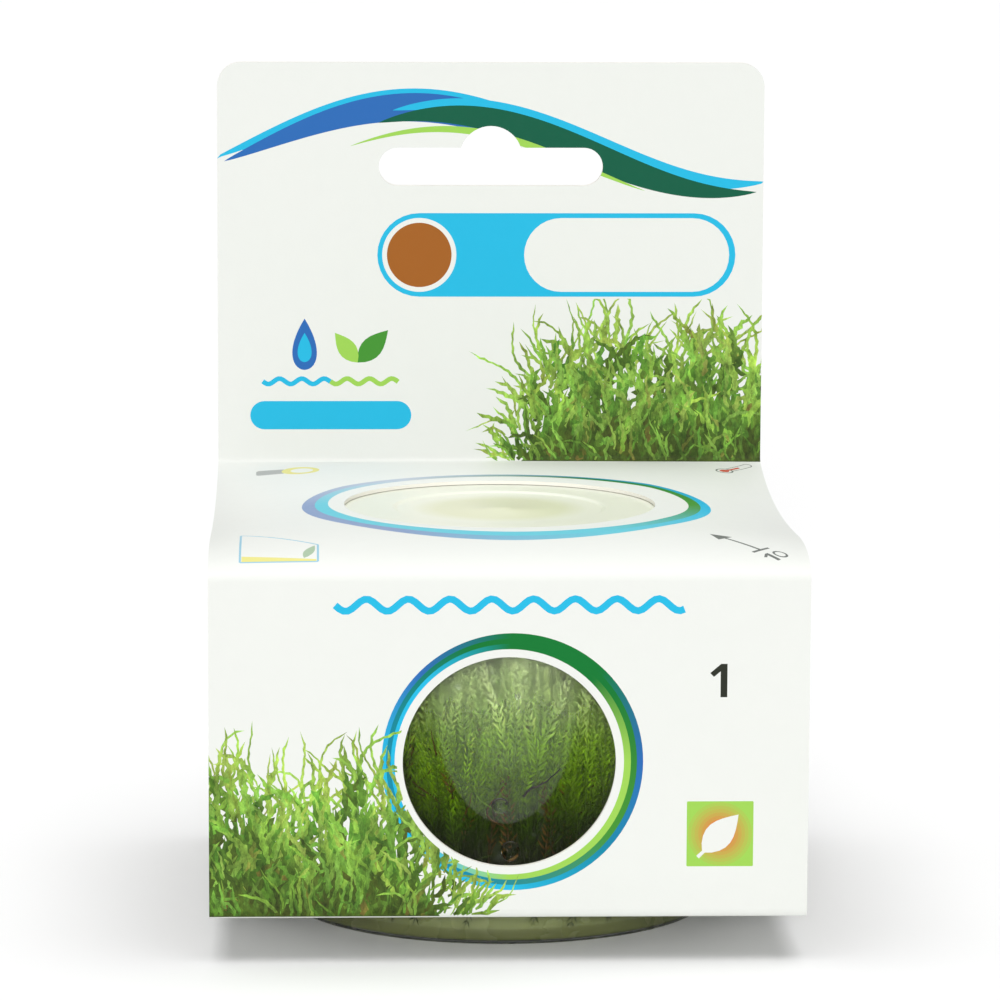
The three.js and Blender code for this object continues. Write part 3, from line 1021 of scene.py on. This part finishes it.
def triangulate(sheet):
    """Triangles of the flat strip, each with the top shape that covers it, cut at every row."""
    merge_distance = 1e-5
    points, edges, faces = [], [], []
    for outline in sheet.outlines:
        first = len(points)
        points.extend(Vector(p) for p in outline)
        faces.append(list(range(first, first + len(outline))))
    for length in ROW_LENGTHS[1:-1]:
        edges.append((len(points), len(points) + 1))
        points.extend((Vector((-WIDTH / 2 - 1, length)), Vector((WIDTH / 2 + 1, length))))
    for column in range(1, DROOP_COLUMNS):
        u = WIDTH * (column / DROOP_COLUMNS - 0.5)
        edges.append((len(points), len(points) + 1))
        points.extend((Vector((u, ROW_LENGTHS[CREASE_ROW])), Vector((u, ROW_LENGTHS[FRONT_ROW]))))
    flat, _, triangles, _, _, origins = geometry.delaunay_2d_cdt(
        points, edges, faces, 0, merge_distance, True
    )
    kept, tops = [], []
    for triangle, origin in zip(triangles, origins):
        if 0 not in origin:
            continue
        if any(sheet.colours[shape] is None for shape in origin):
            continue
        kept.append(tuple(triangle))
        tops.append(max(origin))
    return flat, kept, tops


def droop(x, y):
    """How far the top panel droops at a place, because the lid's plate carries only its middle."""
    crease = BACK - 2 * CARD
    share = max(0.0, (crease - y) / (crease - FRONT))
    carried = (2 * LID_PLATE_RADIUS / WIDTH) ** 4
    side = min(1.0, abs(2 * x / WIDTH)) ** 4
    loose = max(0.0, side - carried) / (1 - carried)
    return SIDE_DROOP * loose * math.sin(math.pi * min(1.0, share) ** 0.75)


def fold_point(u, v, rows):
    """Where a point of the flat strip lies once folded."""
    index = int(np.searchsorted(ROW_LENGTHS, v, side="right")) - 1
    index = min(max(index, 0), len(rows) - 2)
    share = (v - ROW_LENGTHS[index]) / (ROW_LENGTHS[index + 1] - ROW_LENGTHS[index])
    (y0, z0), (y1, z1) = rows[index], rows[index + 1]
    y = y0 + (y1 - y0) * share
    z = z0 + (z1 - z0) * share
    if z > FRONT_TOP / 2:
        z -= droop(u, y)
    return (u, y, z)


def folded_surface(sheet, rows, outward):
    """One side of the sleeve: its points, flat and folded, its triangles and a colour for each corner."""
    flat, triangles, tops = triangulate(sheet)
    used = sorted({corner for triangle in triangles for corner in triangle})
    place = {corner: i for i, corner in enumerate(used)}
    points = [fold_point(*flat[corner], rows) for corner in used]
    faces, colours = [], []
    for triangle, top in zip(triangles, tops):
        a, b, c = triangle
        pa, pb, pc = flat[a], flat[b], flat[c]
        if ((pb.x - pa.x) * (pc.y - pa.y) - (pb.y - pa.y) * (pc.x - pa.x) > 0) == outward:
            b, c = c, b
        faces.append([place[a], place[b], place[c]])
        for corner in (a, b, c):
            colours.append((*sheet.colours[top](*flat[corner]), 0.0 if sheet.leafy[top] else 1.0))
    return [flat[corner] for corner in used], points, faces, colours


def folded_sleeve():
    """The sleeve's mesh: the printed outside, the bare inside and the cut edges between them."""
    flat, points, faces, colours = folded_surface(flat_strip(), OUTER_ROWS, True)
    _, inner_points, inner_faces, inner_colours = folded_surface(bare_strip(), INNER_ROWS, False)
    rim = {}
    for face in faces:
        for start, end in zip(face, face[1:] + face[:1]):
            if (end, start) in rim:
                del rim[(end, start)]
            else:
                rim[(start, end)] = True
    first = len(points)
    points += inner_points
    faces += [[first + corner for corner in face] for face in inner_faces]
    colours += inner_colours
    under = {}
    for edge in rim:
        for corner in edge:
            if corner not in under:
                under[corner] = len(points)
                points.append(fold_point(*flat[corner], INNER_ROWS))
    for start, end in rim:
        faces.append([end, start, under[start], under[end]])
        colours.extend([(*CUT_EDGE, 1.0)] * 4)
    piece = new_piece("folded_card", points, faces, card_material())
    piece.data.set_sharp_from_angle(angle=0.5)
    store_colours(piece, "print", "CORNER", colours)
    return piece


# Cup, lid, gel and condensation

def cup_radius(height):
    """The cup's outside radius on its tapered wall."""
    return CUP_BASE_RADIUS + (SHOULDER_RADIUS - CUP_BASE_RADIUS) * height / SHOULDER_HEIGHT


def cup_inside(height):
    """The cup's inside radius on its tapered wall."""
    return cup_radius(min(height, SHOULDER_HEIGHT)) - CUP_WALL


def clear_cup():
    """The cup, with its corners rounded as moulded."""
    seat = SHOULDER_RADIUS + SEAT_STEP
    profile = [
        (0, FOOT_RECESS),
        (FOOT_INNER - 0.8, FOOT_RECESS),
        (FOOT_INNER, 0),
        (CUP_BASE_RADIUS - 0.1, 0),
        (cup_radius(1.2), 1.2),
        (cup_radius(SHOULDER_HEIGHT), SHOULDER_HEIGHT),
        (seat, SHOULDER_HEIGHT + 0.6),
        (seat, CUP_TOP - FLANGE),
        (FLANGE_RADIUS, CUP_TOP - FLANGE),
        (FLANGE_RADIUS, CUP_TOP),
        (seat - CUP_WALL, CUP_TOP),
        (seat - CUP_WALL, SHOULDER_HEIGHT + 0.9),
        (cup_radius(SHOULDER_HEIGHT) - CUP_WALL, SHOULDER_HEIGHT + 0.2),
        (cup_radius(CUP_FLOOR) - CUP_WALL, CUP_FLOOR),
        (FOOT_INNER + 0.2, CUP_FLOOR),
        (FOOT_INNER - 0.6, FOOT_RECESS + CUP_FLOOR),
        (0, FOOT_RECESS + CUP_FLOOR),
    ]
    radii = {2: 0.25, 3: 0.7, 8: 0.25, 9: 0.3, 10: 0.2, 13: 0.5, 14: 0.3}
    piece = turn_profile("cup", rounded(profile, radii), clear_material())
    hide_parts("clear_cup")
    return piece


def snap_lid():
    """The lid, with its raised plate and shallow dish, flat rim, plug wall and skirt."""
    plug = SHOULDER_RADIUS + SEAT_STEP - CUP_WALL - PLUG_GAP
    under = LID_RIM_TOP - LID_WALL
    dish = LID_PLATE_TOP - LID_DISH_DEPTH
    profile = [
        (0, dish - LID_WALL),
        (LID_PLATE_RADIUS, dish - LID_WALL),
        (LID_SHOULDER_RADIUS - LID_WALL, LID_SHOULDER_TOP - LID_WALL),
        (LID_SHOULDER_RADIUS + 1, under),
        (plug - LID_WALL, under),
        (plug - LID_WALL, LID_PLUG_BOTTOM),
        (plug, LID_PLUG_BOTTOM),
        (plug, under),
        (LID_RADIUS - LID_WALL, under),
        (LID_RADIUS - LID_WALL, LID_SKIRT),
        (LID_RADIUS, LID_SKIRT),
        (LID_RADIUS, LID_RIM_TOP),
        (LID_SHOULDER_RADIUS + 1.9, LID_RIM_TOP),
        (LID_SHOULDER_RADIUS + 0.2, LID_SHOULDER_TOP - 0.1),
        (LID_PLATE_RADIUS, LID_PLATE_TOP),
        (LID_DISH_RADIUS + 0.5, LID_PLATE_TOP),
        (LID_DISH_RADIUS, dish),
        (1.9, dish),
        (1.5, dish + 0.15),
        (0, dish + 0.15),
    ]
    radii = {7: 0.2, 8: 0.2, 11: 0.7, 12: 0.5, 13: 0.5, 14: 2.0, 15: 0.2, 16: 0.2}
    piece = turn_profile("lid", rounded(profile, radii), lid_material())
    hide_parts("snap_lid")
    return piece


def nutrient_gel():
    """The gel, poured against the cup's wall and floor, with a meniscus. It wets the cup's lower corner."""
    top = GEL_TOP
    profile = [
        (0, FOOT_RECESS + CUP_FLOOR - GEL_WETTING),
        (FOOT_INNER - 0.6, FOOT_RECESS + CUP_FLOOR - GEL_WETTING),
        (FOOT_INNER + 0.2, CUP_FLOOR - GEL_WETTING),
        (cup_inside(CUP_FLOOR) + GEL_WETTING, CUP_FLOOR - GEL_WETTING),
        (cup_inside(2.0) + GEL_WETTING, 2.0),
        (cup_inside(3.5) - GEL_WALL_GAP, 3.5),
        (cup_inside(top) - GEL_WALL_GAP, top),
        (cup_inside(top) - 0.35, top - 0.05),
        (cup_inside(top) - 0.9, top - 0.4),
        (cup_inside(top) - 2.0, top - 0.68),
        (cup_inside(top) - 4.0, top - 0.8),
        (0, top - 0.8),
    ]
    piece = turn_profile("gel", rounded(profile, {2: 0.3, 3: 0.45}), gel_material())
    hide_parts("nutrient_gel")
    return piece


def drop_form():
    """A half ball of radius 1 that stands on its flat side, with its triangles."""
    points = [(0.0, 0.0, 1.0)]
    for ring in range(1, DROP_RINGS + 1):
        tilt = math.pi / 2 * ring / DROP_RINGS
        radius = math.sin(tilt)
        for i in range(DROP_SIDES):
            angle = 2 * math.pi * i / DROP_SIDES
            points.append((radius * math.cos(angle), radius * math.sin(angle), math.cos(tilt)))
    points.append((0.0, 0.0, 0.0))
    faces = []
    last = 1 + (DROP_RINGS - 1) * DROP_SIDES
    for i in range(DROP_SIDES):
        j = (i + 1) % DROP_SIDES
        faces.append((0, 1 + i, 1 + j))
        for ring in range(DROP_RINGS - 1):
            a, b = 1 + ring * DROP_SIDES + i, 1 + ring * DROP_SIDES + j
            faces.append((a, a + DROP_SIDES, b + DROP_SIDES))
            faces.append((a, b + DROP_SIDES, b))
        faces.append((last + i, len(points) - 1, last + j))
    return np.array(points), np.array(faces)


def condensation():
    """Drops on the inside of the cup's wall: many small ones near the lid and two wide flat ones."""
    rng = np.random.default_rng(21)
    form, form_faces = drop_form()
    drops = []
    for _ in range(SMALL_DROPS):
        size = 0.1 + 0.3 * rng.random() ** 4
        drops.append((rng.uniform(0, 2 * math.pi), DROPS_TOP - DROPS_BAND * rng.random(), size, size * 0.55))
    for aside, height, size in WIDE_DROPS:
        drops.append((-math.pi / 2 + aside / cup_inside(height), height, size, 0.2))
    points, faces = [], []
    for angle, height, size, thick in drops:
        radius = cup_inside(height) - 0.01
        inward = Vector((-math.cos(angle), -math.sin(angle), 0.1)).normalized()
        turn = np.array(inward.to_track_quat("Z", "Y").to_matrix())
        centre = np.array((radius * math.cos(angle), radius * math.sin(angle), height))
        shape = form * np.array((size, size * rng.uniform(0.95, 1.2), thick))
        faces.extend((form_faces + len(points)).tolist())
        points.extend((shape @ turn.T + centre).tolist())
    piece = new_piece("condensation", points, faces, water_material())
    return piece


# Moss

MOSS_GAP = 0.25
MOSS_TIP = MOSS_HIGH[2]
BITS_ROUND = 30
BITS_GAP = 0.02
OLD_STEMS = 180
CROWN_SHOOTS = 520
LEAF_SPACING = 0.82
SHOOT_BEND = 0.1
GOLDEN_SHARE = 0.61803399
# The upright shoots: piece, how many, nearest and farthest from the wall in millimetres, seed
WALL_LAYERS = (
    ("moss_shoots_at_wall", 640, 0.3, 1.3, 31),
    ("moss_shoots_behind", 760, 1.3, 2.6, 32),
    ("moss_shoots_inside", 700, 2.6, 4.4, 33),
)


def moss_reach(height):
    """The largest radius of the moss at a height."""
    return cup_inside(height) - MOSS_GAP


# The moss's tones at some heights in millimetres, dark low in the cup and pale above: partly old and fresh
# growth, partly painted shade low in the cup where the sleeve keeps the light off
MOSS_HEIGHTS = (9.0, 15.5, 19.0, 23.0, 27.0, 34.0, 46.0)
MOSS_TONES_WITH_SHADE = np.array((
    (0.020, 0.028, 0.002),
    (0.036, 0.076, 0.002),
    (0.125, 0.235, 0.003),
    (0.185, 0.345, 0.006),
    (0.275, 0.475, 0.030),
    (0.570, 0.760, 0.240),
    (0.780, 0.900, 0.460),
))
PALEST_LEAF = np.array((0.74, 0.84, 0.44))
BROWN_STEM = np.array((0.11, 0.05, 0.008))
# Single old twigs behind the window: where each starts and ends (across, height), its radius and colour
OLD_TWIGS = (
    ((2.2, 20.6), (7.0, 23.9), 0.24, (0.02, 0.012, 0.006)),
    ((-9.2, 25.6), (-9.9, 29.0), 0.14, BROWN_STEM),
    ((-5.4, 17.6), (-4.6, 20.6), 0.12, BROWN_STEM),
)


def shaded_tones_at(heights):
    """The moss's colour at an array of heights: dark low in the cup, partly as old growth and partly as
    painted shade, and fresh and pale above.
    """
    return np.stack([np.interp(heights, MOSS_HEIGHTS, MOSS_TONES_WITH_SHADE[:, i]) for i in range(3)], axis=1)


class Growth:
    """Collects the triangles of many shoots."""

    def __init__(self):
        self.points = []
        self.triangles = []
        self.colours = []
        self.count = 0

    def add(self, points, triangles, colours):
        self.points.append(points)
        self.triangles.append(triangles + self.count)
        self.colours.append(np.minimum(colours, PALEST_LEAF))
        self.count += len(points)

    def piece(self, name, material):
        made = new_triangles(name, np.concatenate(self.points), np.concatenate(self.triangles), material)
        store_colours(made, "leaf", "POINT", np.concatenate(self.colours))
        return made


def unit(vector):
    """A vector made one long."""
    return vector / np.linalg.norm(vector)


def round_axis(angle):
    """The directions outwards and sideways at an angle round the cup's axis."""
    radial = np.array((math.cos(angle), math.sin(angle), 0.0))
    tangent = np.array((-math.sin(angle), math.cos(angle), 0.0))
    return radial, tangent


def unit_rows(vectors):
    """Each row of an array made one long."""
    return vectors / np.maximum(np.linalg.norm(vectors, axis=1, keepdims=True), 1e-9)


def stem_tube(path, radii, colours):
    """A three-sided tube along a path, closed by its pointed tip."""
    count = len(path)
    way = unit_rows(np.gradient(path, axis=0))
    aside = unit_rows(np.cross(way, np.array([0.31, 0.87, 0.12])))
    across = np.cross(way, aside)
    rings = []
    for i in range(3):
        angle = 2 * math.pi * i / 3
        rings.append(path + (aside * math.cos(angle) + across * math.sin(angle)) * radii[:, None])
    points = np.stack(rings, axis=1).reshape(-1, 3)
    steps = np.arange(count - 1)[:, None] * 3
    sides = []
    for i in range(3):
        j = (i + 1) % 3
        sides.append(np.hstack((steps + i, steps + j, steps + 3 + j)))
        sides.append(np.hstack((steps + i, steps + 3 + j, steps + 3 + i)))
    caps = np.array([[0, 2, 1], [3 * count - 3, 3 * count - 2, 3 * count - 1]])
    return points, np.concatenate(sides + [caps]), np.repeat(colours, 3, axis=0)


def leaves_on(path, way, side, face, lengths, widths, open_angle, lift, tone, rng):
    """A row of pointed leaves, one at each point of a path, each folded a little along its middle, with a
    painted highlight at its tip and painted shade at its foot.
    """
    count = len(path)
    angle = open_angle + rng.normal(0, 0.12, count)
    out = unit_rows(
        way * np.cos(angle)[:, None] + side * np.sin(angle)[:, None] + face * lift[:, None]
    )
    edge = unit_rows(np.cross(out, face))
    middle = path + out * (lengths * 0.42)[:, None]
    raised = face * (widths * 0.16)[:, None]
    tips = path + out * lengths[:, None] + way * (lengths * 0.16)[:, None]
    half = edge * (widths * 0.5)[:, None]
    points = np.stack((path, middle - half + raised, tips, middle + half + raised), axis=1)
    first = np.arange(count)[:, None] * 4
    triangles = np.concatenate((first + np.array([[0, 1, 2]]), first + np.array([[0, 2, 3]])))
    # Each leaf's tip is made lighter as a painted highlight and its foot darker as painted shade by the stem.
    tip_highlight_base_shade = np.stack((tone * 0.5, tone * 0.95, tone * 1.65, tone * 0.95), axis=1)
    return points.reshape(-1, 3), triangles, tip_highlight_base_shade.reshape(-1, 3)


def grow_shoot(growth, rng, root, up, face, length, spread, shade, tint=None):
    """One feathery shoot: a stem with pairs of pointed leaves, shorter ones towards the tip."""
    nodes = max(5, int(length / LEAF_SPACING))
    t = np.linspace(0, 1, nodes)
    side = unit(np.cross(up, face))
    sway = rng.normal(0, SHOOT_BEND, 2)
    reach = rng.uniform(0.6, 1.4)
    path = (
        root
        + up * (t * length)[:, None]
        + side * (sway[0] * length * np.sin(reach * 2.2 * t) * t)[:, None]
        + face * (sway[1] * 0.5 * length * t * t)[:, None]
    )
    way = unit_rows(np.gradient(path, axis=0))
    row_side = unit_rows(np.cross(way, face))
    row_face = unit_rows(np.cross(row_side, way))
    tone = shaded_tones_at(path[:, 2]) * shade * (0.75 + 0.4 * t)[:, None]
    if tint is not None:
        tone = tone * 0.2 + tint
    tone = tone * rng.uniform(0.82, 1.18, (nodes, 1))
    taper = np.clip(1.12 - 0.4 * t, 0, 1) * np.clip((1 - t) * 5 + 0.5, 0, 1)
    youth = np.clip(t * 6 + 0.35, 0, 1)
    for hand in (1, -1):
        lengths = spread * 0.7 * taper * youth * rng.uniform(0.8, 1.15, nodes)
        widths = lengths * rng.uniform(0.2, 0.27, nodes)
        lift = rng.normal(0.08, 0.12, nodes)
        opening = 0.78 - 0.2 * t
        outwards = row_side * hand
        growth.add(*leaves_on(path, way, outwards, row_face, lengths, widths, opening, lift, tone, rng))
    pick = slice(int(rng.integers(0, 2)), None, 2)
    lengths = spread * 0.5 * (taper * youth)[pick] * rng.uniform(0.8, 1.1, len(t[pick]))
    turn = rng.choice([-1.0, 1.0], len(t[pick]))[:, None]
    growth.add(*leaves_on(
        path[pick], way[pick], row_face[pick], row_side[pick] * turn, lengths, lengths * 0.26,
        0.45, np.zeros(len(lengths)), tone[pick], rng,
    ))
    sparse = np.linspace(0, nodes - 1, max(4, nodes // 4)).astype(int)
    radii = 0.1 * (1.15 - 0.75 * t[sparse])
    growth.add(*stem_tube(path[sparse], radii, tone[sparse] * 0.85))
    return path, way, row_side


def shoot_look(rng):
    """How light a shoot is and whether it is an old brown one."""
    luck = rng.random()
    if luck > 0.84:
        return rng.uniform(1.3, 1.8), None
    if luck < 0.04:
        return 0.6, BROWN_STEM * rng.uniform(0.6, 1.2)
    return rng.uniform(0.65, 1.1), None


def wall_shoots(name, material, count, depth_low, depth_high, seed):
    """Upright shoots that stand close to the cup's wall, facing out of it."""
    rng = np.random.default_rng(seed)
    growth = Growth()
    for i in range(count):
        angle = 2 * math.pi * (i + rng.uniform(-0.45, 0.45)) * GOLDEN_SHARE
        foot = GEL_TOP + 0.3 + 27 * rng.random() ** 1.1
        length = min(rng.uniform(11, 21), MOSS_TIP - 0.6 - foot)
        depth = rng.uniform(depth_low, depth_high)
        radius = moss_reach(foot) - depth
        radial, tangent = round_axis(angle)
        root = radial * radius + np.array((0, 0, foot))
        lean = rng.normal(0, 0.12)
        up = unit(np.array((0, 0, 1.0)) + tangent * lean + radial * 0.12)
        twist = rng.normal(0, 0.55)
        face = radial * math.cos(twist) + tangent * math.sin(twist)
        face = unit(face - up * np.dot(face, up))
        spread = rng.uniform(1.7, 2.5)
        shade, tint = shoot_look(rng)
        path, way, side = grow_shoot(growth, rng, root, up, face, length, spread, shade, tint)
        if rng.random() < 0.25:
            k = int(len(path) * rng.uniform(0.25, 0.6))
            hand = rng.choice([-1.0, 1.0])
            out = unit(way[k] * 0.8 + side[k] * hand * 0.6)
            grow_shoot(growth, rng, path[k], out, face, rng.uniform(3.5, 7), spread * 0.85, shade, tint)
    keep_in_cup(growth, MOSS_GAP)
    return growth.piece(name, material)


def keep_in_cup(growth, gap):
    """Presses whatever would leave the cup back against its wall, and down below the lid."""
    for points in growth.points:
        radius = np.hypot(points[:, 0], points[:, 1])
        limit = moss_reach_rows(points[:, 2], gap)
        share = np.minimum(1.0, limit / np.maximum(radius, 1e-6))
        points[:, 0] *= share
        points[:, 1] *= share
        points[:, 2] = np.minimum(points[:, 2], MOSS_TIP)


def moss_reach_rows(heights, gap):
    """The largest radius at an array of heights, with a gap to the cup's wall."""
    slope = (SHOULDER_RADIUS - CUP_BASE_RADIUS) / SHOULDER_HEIGHT
    return CUP_BASE_RADIUS + slope * np.clip(heights, 0, SHOULDER_HEIGHT) - CUP_WALL - gap


def crown_shoots(material):
    """Shoots over the cushion's top, upright or leaning at random."""
    rng = np.random.default_rng(34)
    growth = Growth()
    for i in range(CROWN_SHOOTS):
        radius = 29.5 * math.sqrt((i + 0.5) / CROWN_SHOOTS)
        angle = i * math.pi * (3 - math.sqrt(5))
        foot = rng.uniform(26, 32)
        length = rng.uniform(9, MOSS_TIP - foot)
        root = np.array((radius * math.cos(angle), radius * math.sin(angle), foot))
        up = unit(np.array((rng.normal(0, 0.22), rng.normal(0, 0.22), 1.0)))
        face = unit(np.cross(up, round_axis(7 * angle)[0]))
        grow_shoot(growth, rng, root, up, face, length, rng.uniform(1.8, 2.6), *shoot_look(rng))
    keep_in_cup(growth, MOSS_GAP)
    return growth.piece("moss_crown", material)


def cushion_core(material):
    """The cushion's dense inside, lumpy, which closes the gaps between the shoots, coloured darker than the
    moss as painted shade deep in the cushion.
    """
    rng = np.random.default_rng(4)
    columns, levels = 160, 26
    bottom, top = GEL_TOP - 0.6, 31.0
    growth = Growth()
    points, colours = [], []
    for level in range(levels + 1):
        share = level / levels
        height = bottom + (top - bottom) * share
        for column in range(columns):
            angle = 2 * math.pi * column / columns
            radius = moss_reach(height) - 3.6 - 1.4 * rng.random()
            radius *= 1 - 0.1 * share ** 6
            lifted = height + rng.uniform(-0.4, 0.4)
            points.append((radius * math.cos(angle), radius * math.sin(angle), lifted))
            # Darker than the moss's tone at that height: painted shade deep in the cushion.
            colours.append(shaded_tones_at([height])[0] * rng.uniform(0.3, 0.75))
    for height in (bottom, top + 1.5):
        points.append((0, 0, height))
        # The poles are darkened too, as painted shade.
        colours.append(shaded_tones_at([height])[0] * 0.5)
    triangles = []
    low_pole, high_pole = len(points) - 2, len(points) - 1
    for column in range(columns):
        beside = (column + 1) % columns
        for level in range(levels):
            a, b = level * columns + column, level * columns + beside
            triangles.append((a, b, b + columns))
            triangles.append((a, b + columns, a + columns))
        triangles.append((low_pole, beside, column))
        triangles.append((high_pole, levels * columns + column, levels * columns + beside))
    growth.add(np.array(points, dtype=float), np.array(triangles), np.array(colours))
    piece = growth.piece("moss_cushion", material)
    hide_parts("moss")
    return piece


def old_stems(material):
    """Brown bare stems that wander low in the cushion, some of them down into the gel."""
    rng = np.random.default_rng(8)
    growth = Growth()
    steps = 10
    t = np.linspace(0, 1, steps)
    for i in range(OLD_STEMS):
        angle = rng.uniform(0, 2 * math.pi)
        foot = rng.uniform(5.2, 11) if i % 3 else rng.uniform(11, 26)
        turn = rng.normal(0, 0.25)
        angles = angle + turn * t + 0.05 * np.sin(5 * t + i)
        heights = foot + rng.uniform(3, 11) * t + 0.8 * np.sin(4 * t + i)
        radii = moss_reach_rows(heights, MOSS_GAP) - rng.uniform(0.3, 2.6) - 0.5 * np.cos(6 * t + i)
        path = np.stack((radii * np.cos(angles), radii * np.sin(angles), heights), axis=1)
        colours = np.tile(BROWN_STEM * rng.uniform(0.4, 1.2), (steps, 1))
        if rng.random() < 0.5:
            colours = shaded_tones_at(heights) * rng.uniform(0.5, 1.2)
        growth.add(*stem_tube(path, np.full(steps, rng.uniform(0.07, 0.16)), colours))
    for (start, rise), (end, top), thick, colour in OLD_TWIGS:
        t = np.linspace(0, 1, 9)
        aside = start + (end - start) * t
        heights = rise + (top - rise) * t + 0.25 * np.sin(7 * t) + rng.normal(0, 0.14, 9)
        radii = moss_reach_rows(heights, MOSS_GAP)
        path = np.stack((aside, -np.sqrt(radii ** 2 - aside ** 2), heights), axis=1)
        growth.add(*stem_tube(path, thick * (1 - 0.6 * t), np.tile(colour, (9, 1))))
    keep_in_cup(growth, MOSS_GAP)
    return growth.piece("moss_old_stems", material)


def gel_bits(material):
    """Short dark bits of moss that reach down into the gel."""
    rng = np.random.default_rng(14)
    growth = Growth()
    for i in range(BITS_ROUND):
        angle = 2 * math.pi * (i + rng.uniform(-0.4, 0.4)) / BITS_ROUND
        top = GEL_TOP + rng.uniform(0, 1.5)
        radial, tangent = round_axis(angle)
        root = radial * (cup_inside(top) - BITS_GAP) + np.array((0, 0, top))
        down = unit(np.array((0, 0, -1.0)) + tangent * rng.normal(0, 0.35) - radial * 0.08)
        face = unit(np.cross(down, tangent))
        grow_shoot(growth, rng, root, down, face, top - rng.uniform(0.9, 4.2), rng.uniform(1.6, 2.6), 1.3)
    keep_in_cup(growth, BITS_GAP)
    return growth.piece("moss_bits_in_gel", material)


def moss():
    """The whole cushion of moss."""
    material = moss_material()
    pieces = [cushion_core(material)]
    for name, count, near, far, seed in WALL_LAYERS:
        pieces.append(wall_shoots(name, material, count, near, far, seed))
    return pieces + [crown_shoots(material), old_stems(material), gel_bits(material)]


# Camera, lights and floor

def add_camera():
    """A camera where the photograph was taken from."""
    lens = bpy.data.cameras.new("camera")
    lens.sensor_width = SENSOR
    lens.lens = FOCAL_PIXELS / PHOTO_SIZE * SENSOR
    lens.clip_start = 0.01
    lens.clip_end = 20
    camera = place_object("camera", lens)
    forward = Vector((
        math.sin(CAMERA_TURN) * math.cos(CAMERA_DIP),
        math.cos(CAMERA_TURN) * math.cos(CAMERA_DIP),
        -math.sin(CAMERA_DIP),
    ))
    level = Vector((math.cos(CAMERA_TURN), -math.sin(CAMERA_TURN), 0))
    up = level.cross(forward)
    right = level * math.cos(CAMERA_ROLL) - up * math.sin(CAMERA_ROLL)
    above = level * math.sin(CAMERA_ROLL) + up * math.cos(CAMERA_ROLL)
    turn = Matrix((right, above, -forward)).transposed()
    camera.matrix_world = Matrix.Translation(CAMERA_PLACE) @ turn.to_4x4()
    bpy.context.scene.camera = camera


def add_sun(name, height, side, softness, share):
    """A distant light in front, at a height and side in degrees. Its share lights white card as white."""
    light = bpy.data.lights.new(name, "SUN")
    light.angle = math.radians(softness)
    light.energy = math.pi * share
    sun = place_object(name, light)
    up = math.radians(height)
    aside = math.radians(side)
    towards = Vector((math.sin(aside) * math.cos(up), -math.cos(aside) * math.cos(up), math.sin(up)))
    sun.rotation_euler = towards.to_track_quat("Z", "Y").to_euler()


def add_studio():
    """Soft lights, a pale floor and a white surround."""
    add_sun("light_over", 84, 8, 60, 0.74)
    add_sun("light_front", 13, -4, 14, 0.43)
    world = bpy.data.worlds.new("studio")
    world.use_nodes = True
    surround = world.node_tree.nodes["Background"]
    surround.inputs["Color"].default_value = (1, 1, 1, 1)
    surround.inputs["Strength"].default_value = 0.34
    bpy.context.scene.world = world
    material, tree, shader, _ = new_material("pale_floor")
    tone = add_range(tree, add_noise(tree, 3, 2), 0.885, 0.895)
    joined = tree.nodes.new("ShaderNodeCombineColor")
    for channel in ("Red", "Green", "Blue"):
        tree.links.new(tone, joined.inputs[channel])
    tree.links.new(joined.outputs["Color"], shader.inputs["Base Color"])
    shader.inputs["Roughness"].default_value = 0.9
    reach = 3000
    floor = new_piece(
        "floor", [(-reach, -reach, 0), (reach, -reach, 0), (reach, reach, 0), (-reach, reach, 0)],
        [[0, 1, 2, 3]], material,
    )
    bpy.context.scene.view_settings.view_transform = "Standard"


# Build

add_camera()
add_studio()
sleeve = folded_sleeve()
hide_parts("card_sleeve")
cup = clear_cup()
lid = snap_lid()
gel = nutrient_gel()
for piece in [sleeve, cup, lid, gel, condensation(), *moss()]:
    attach(piece, "root")
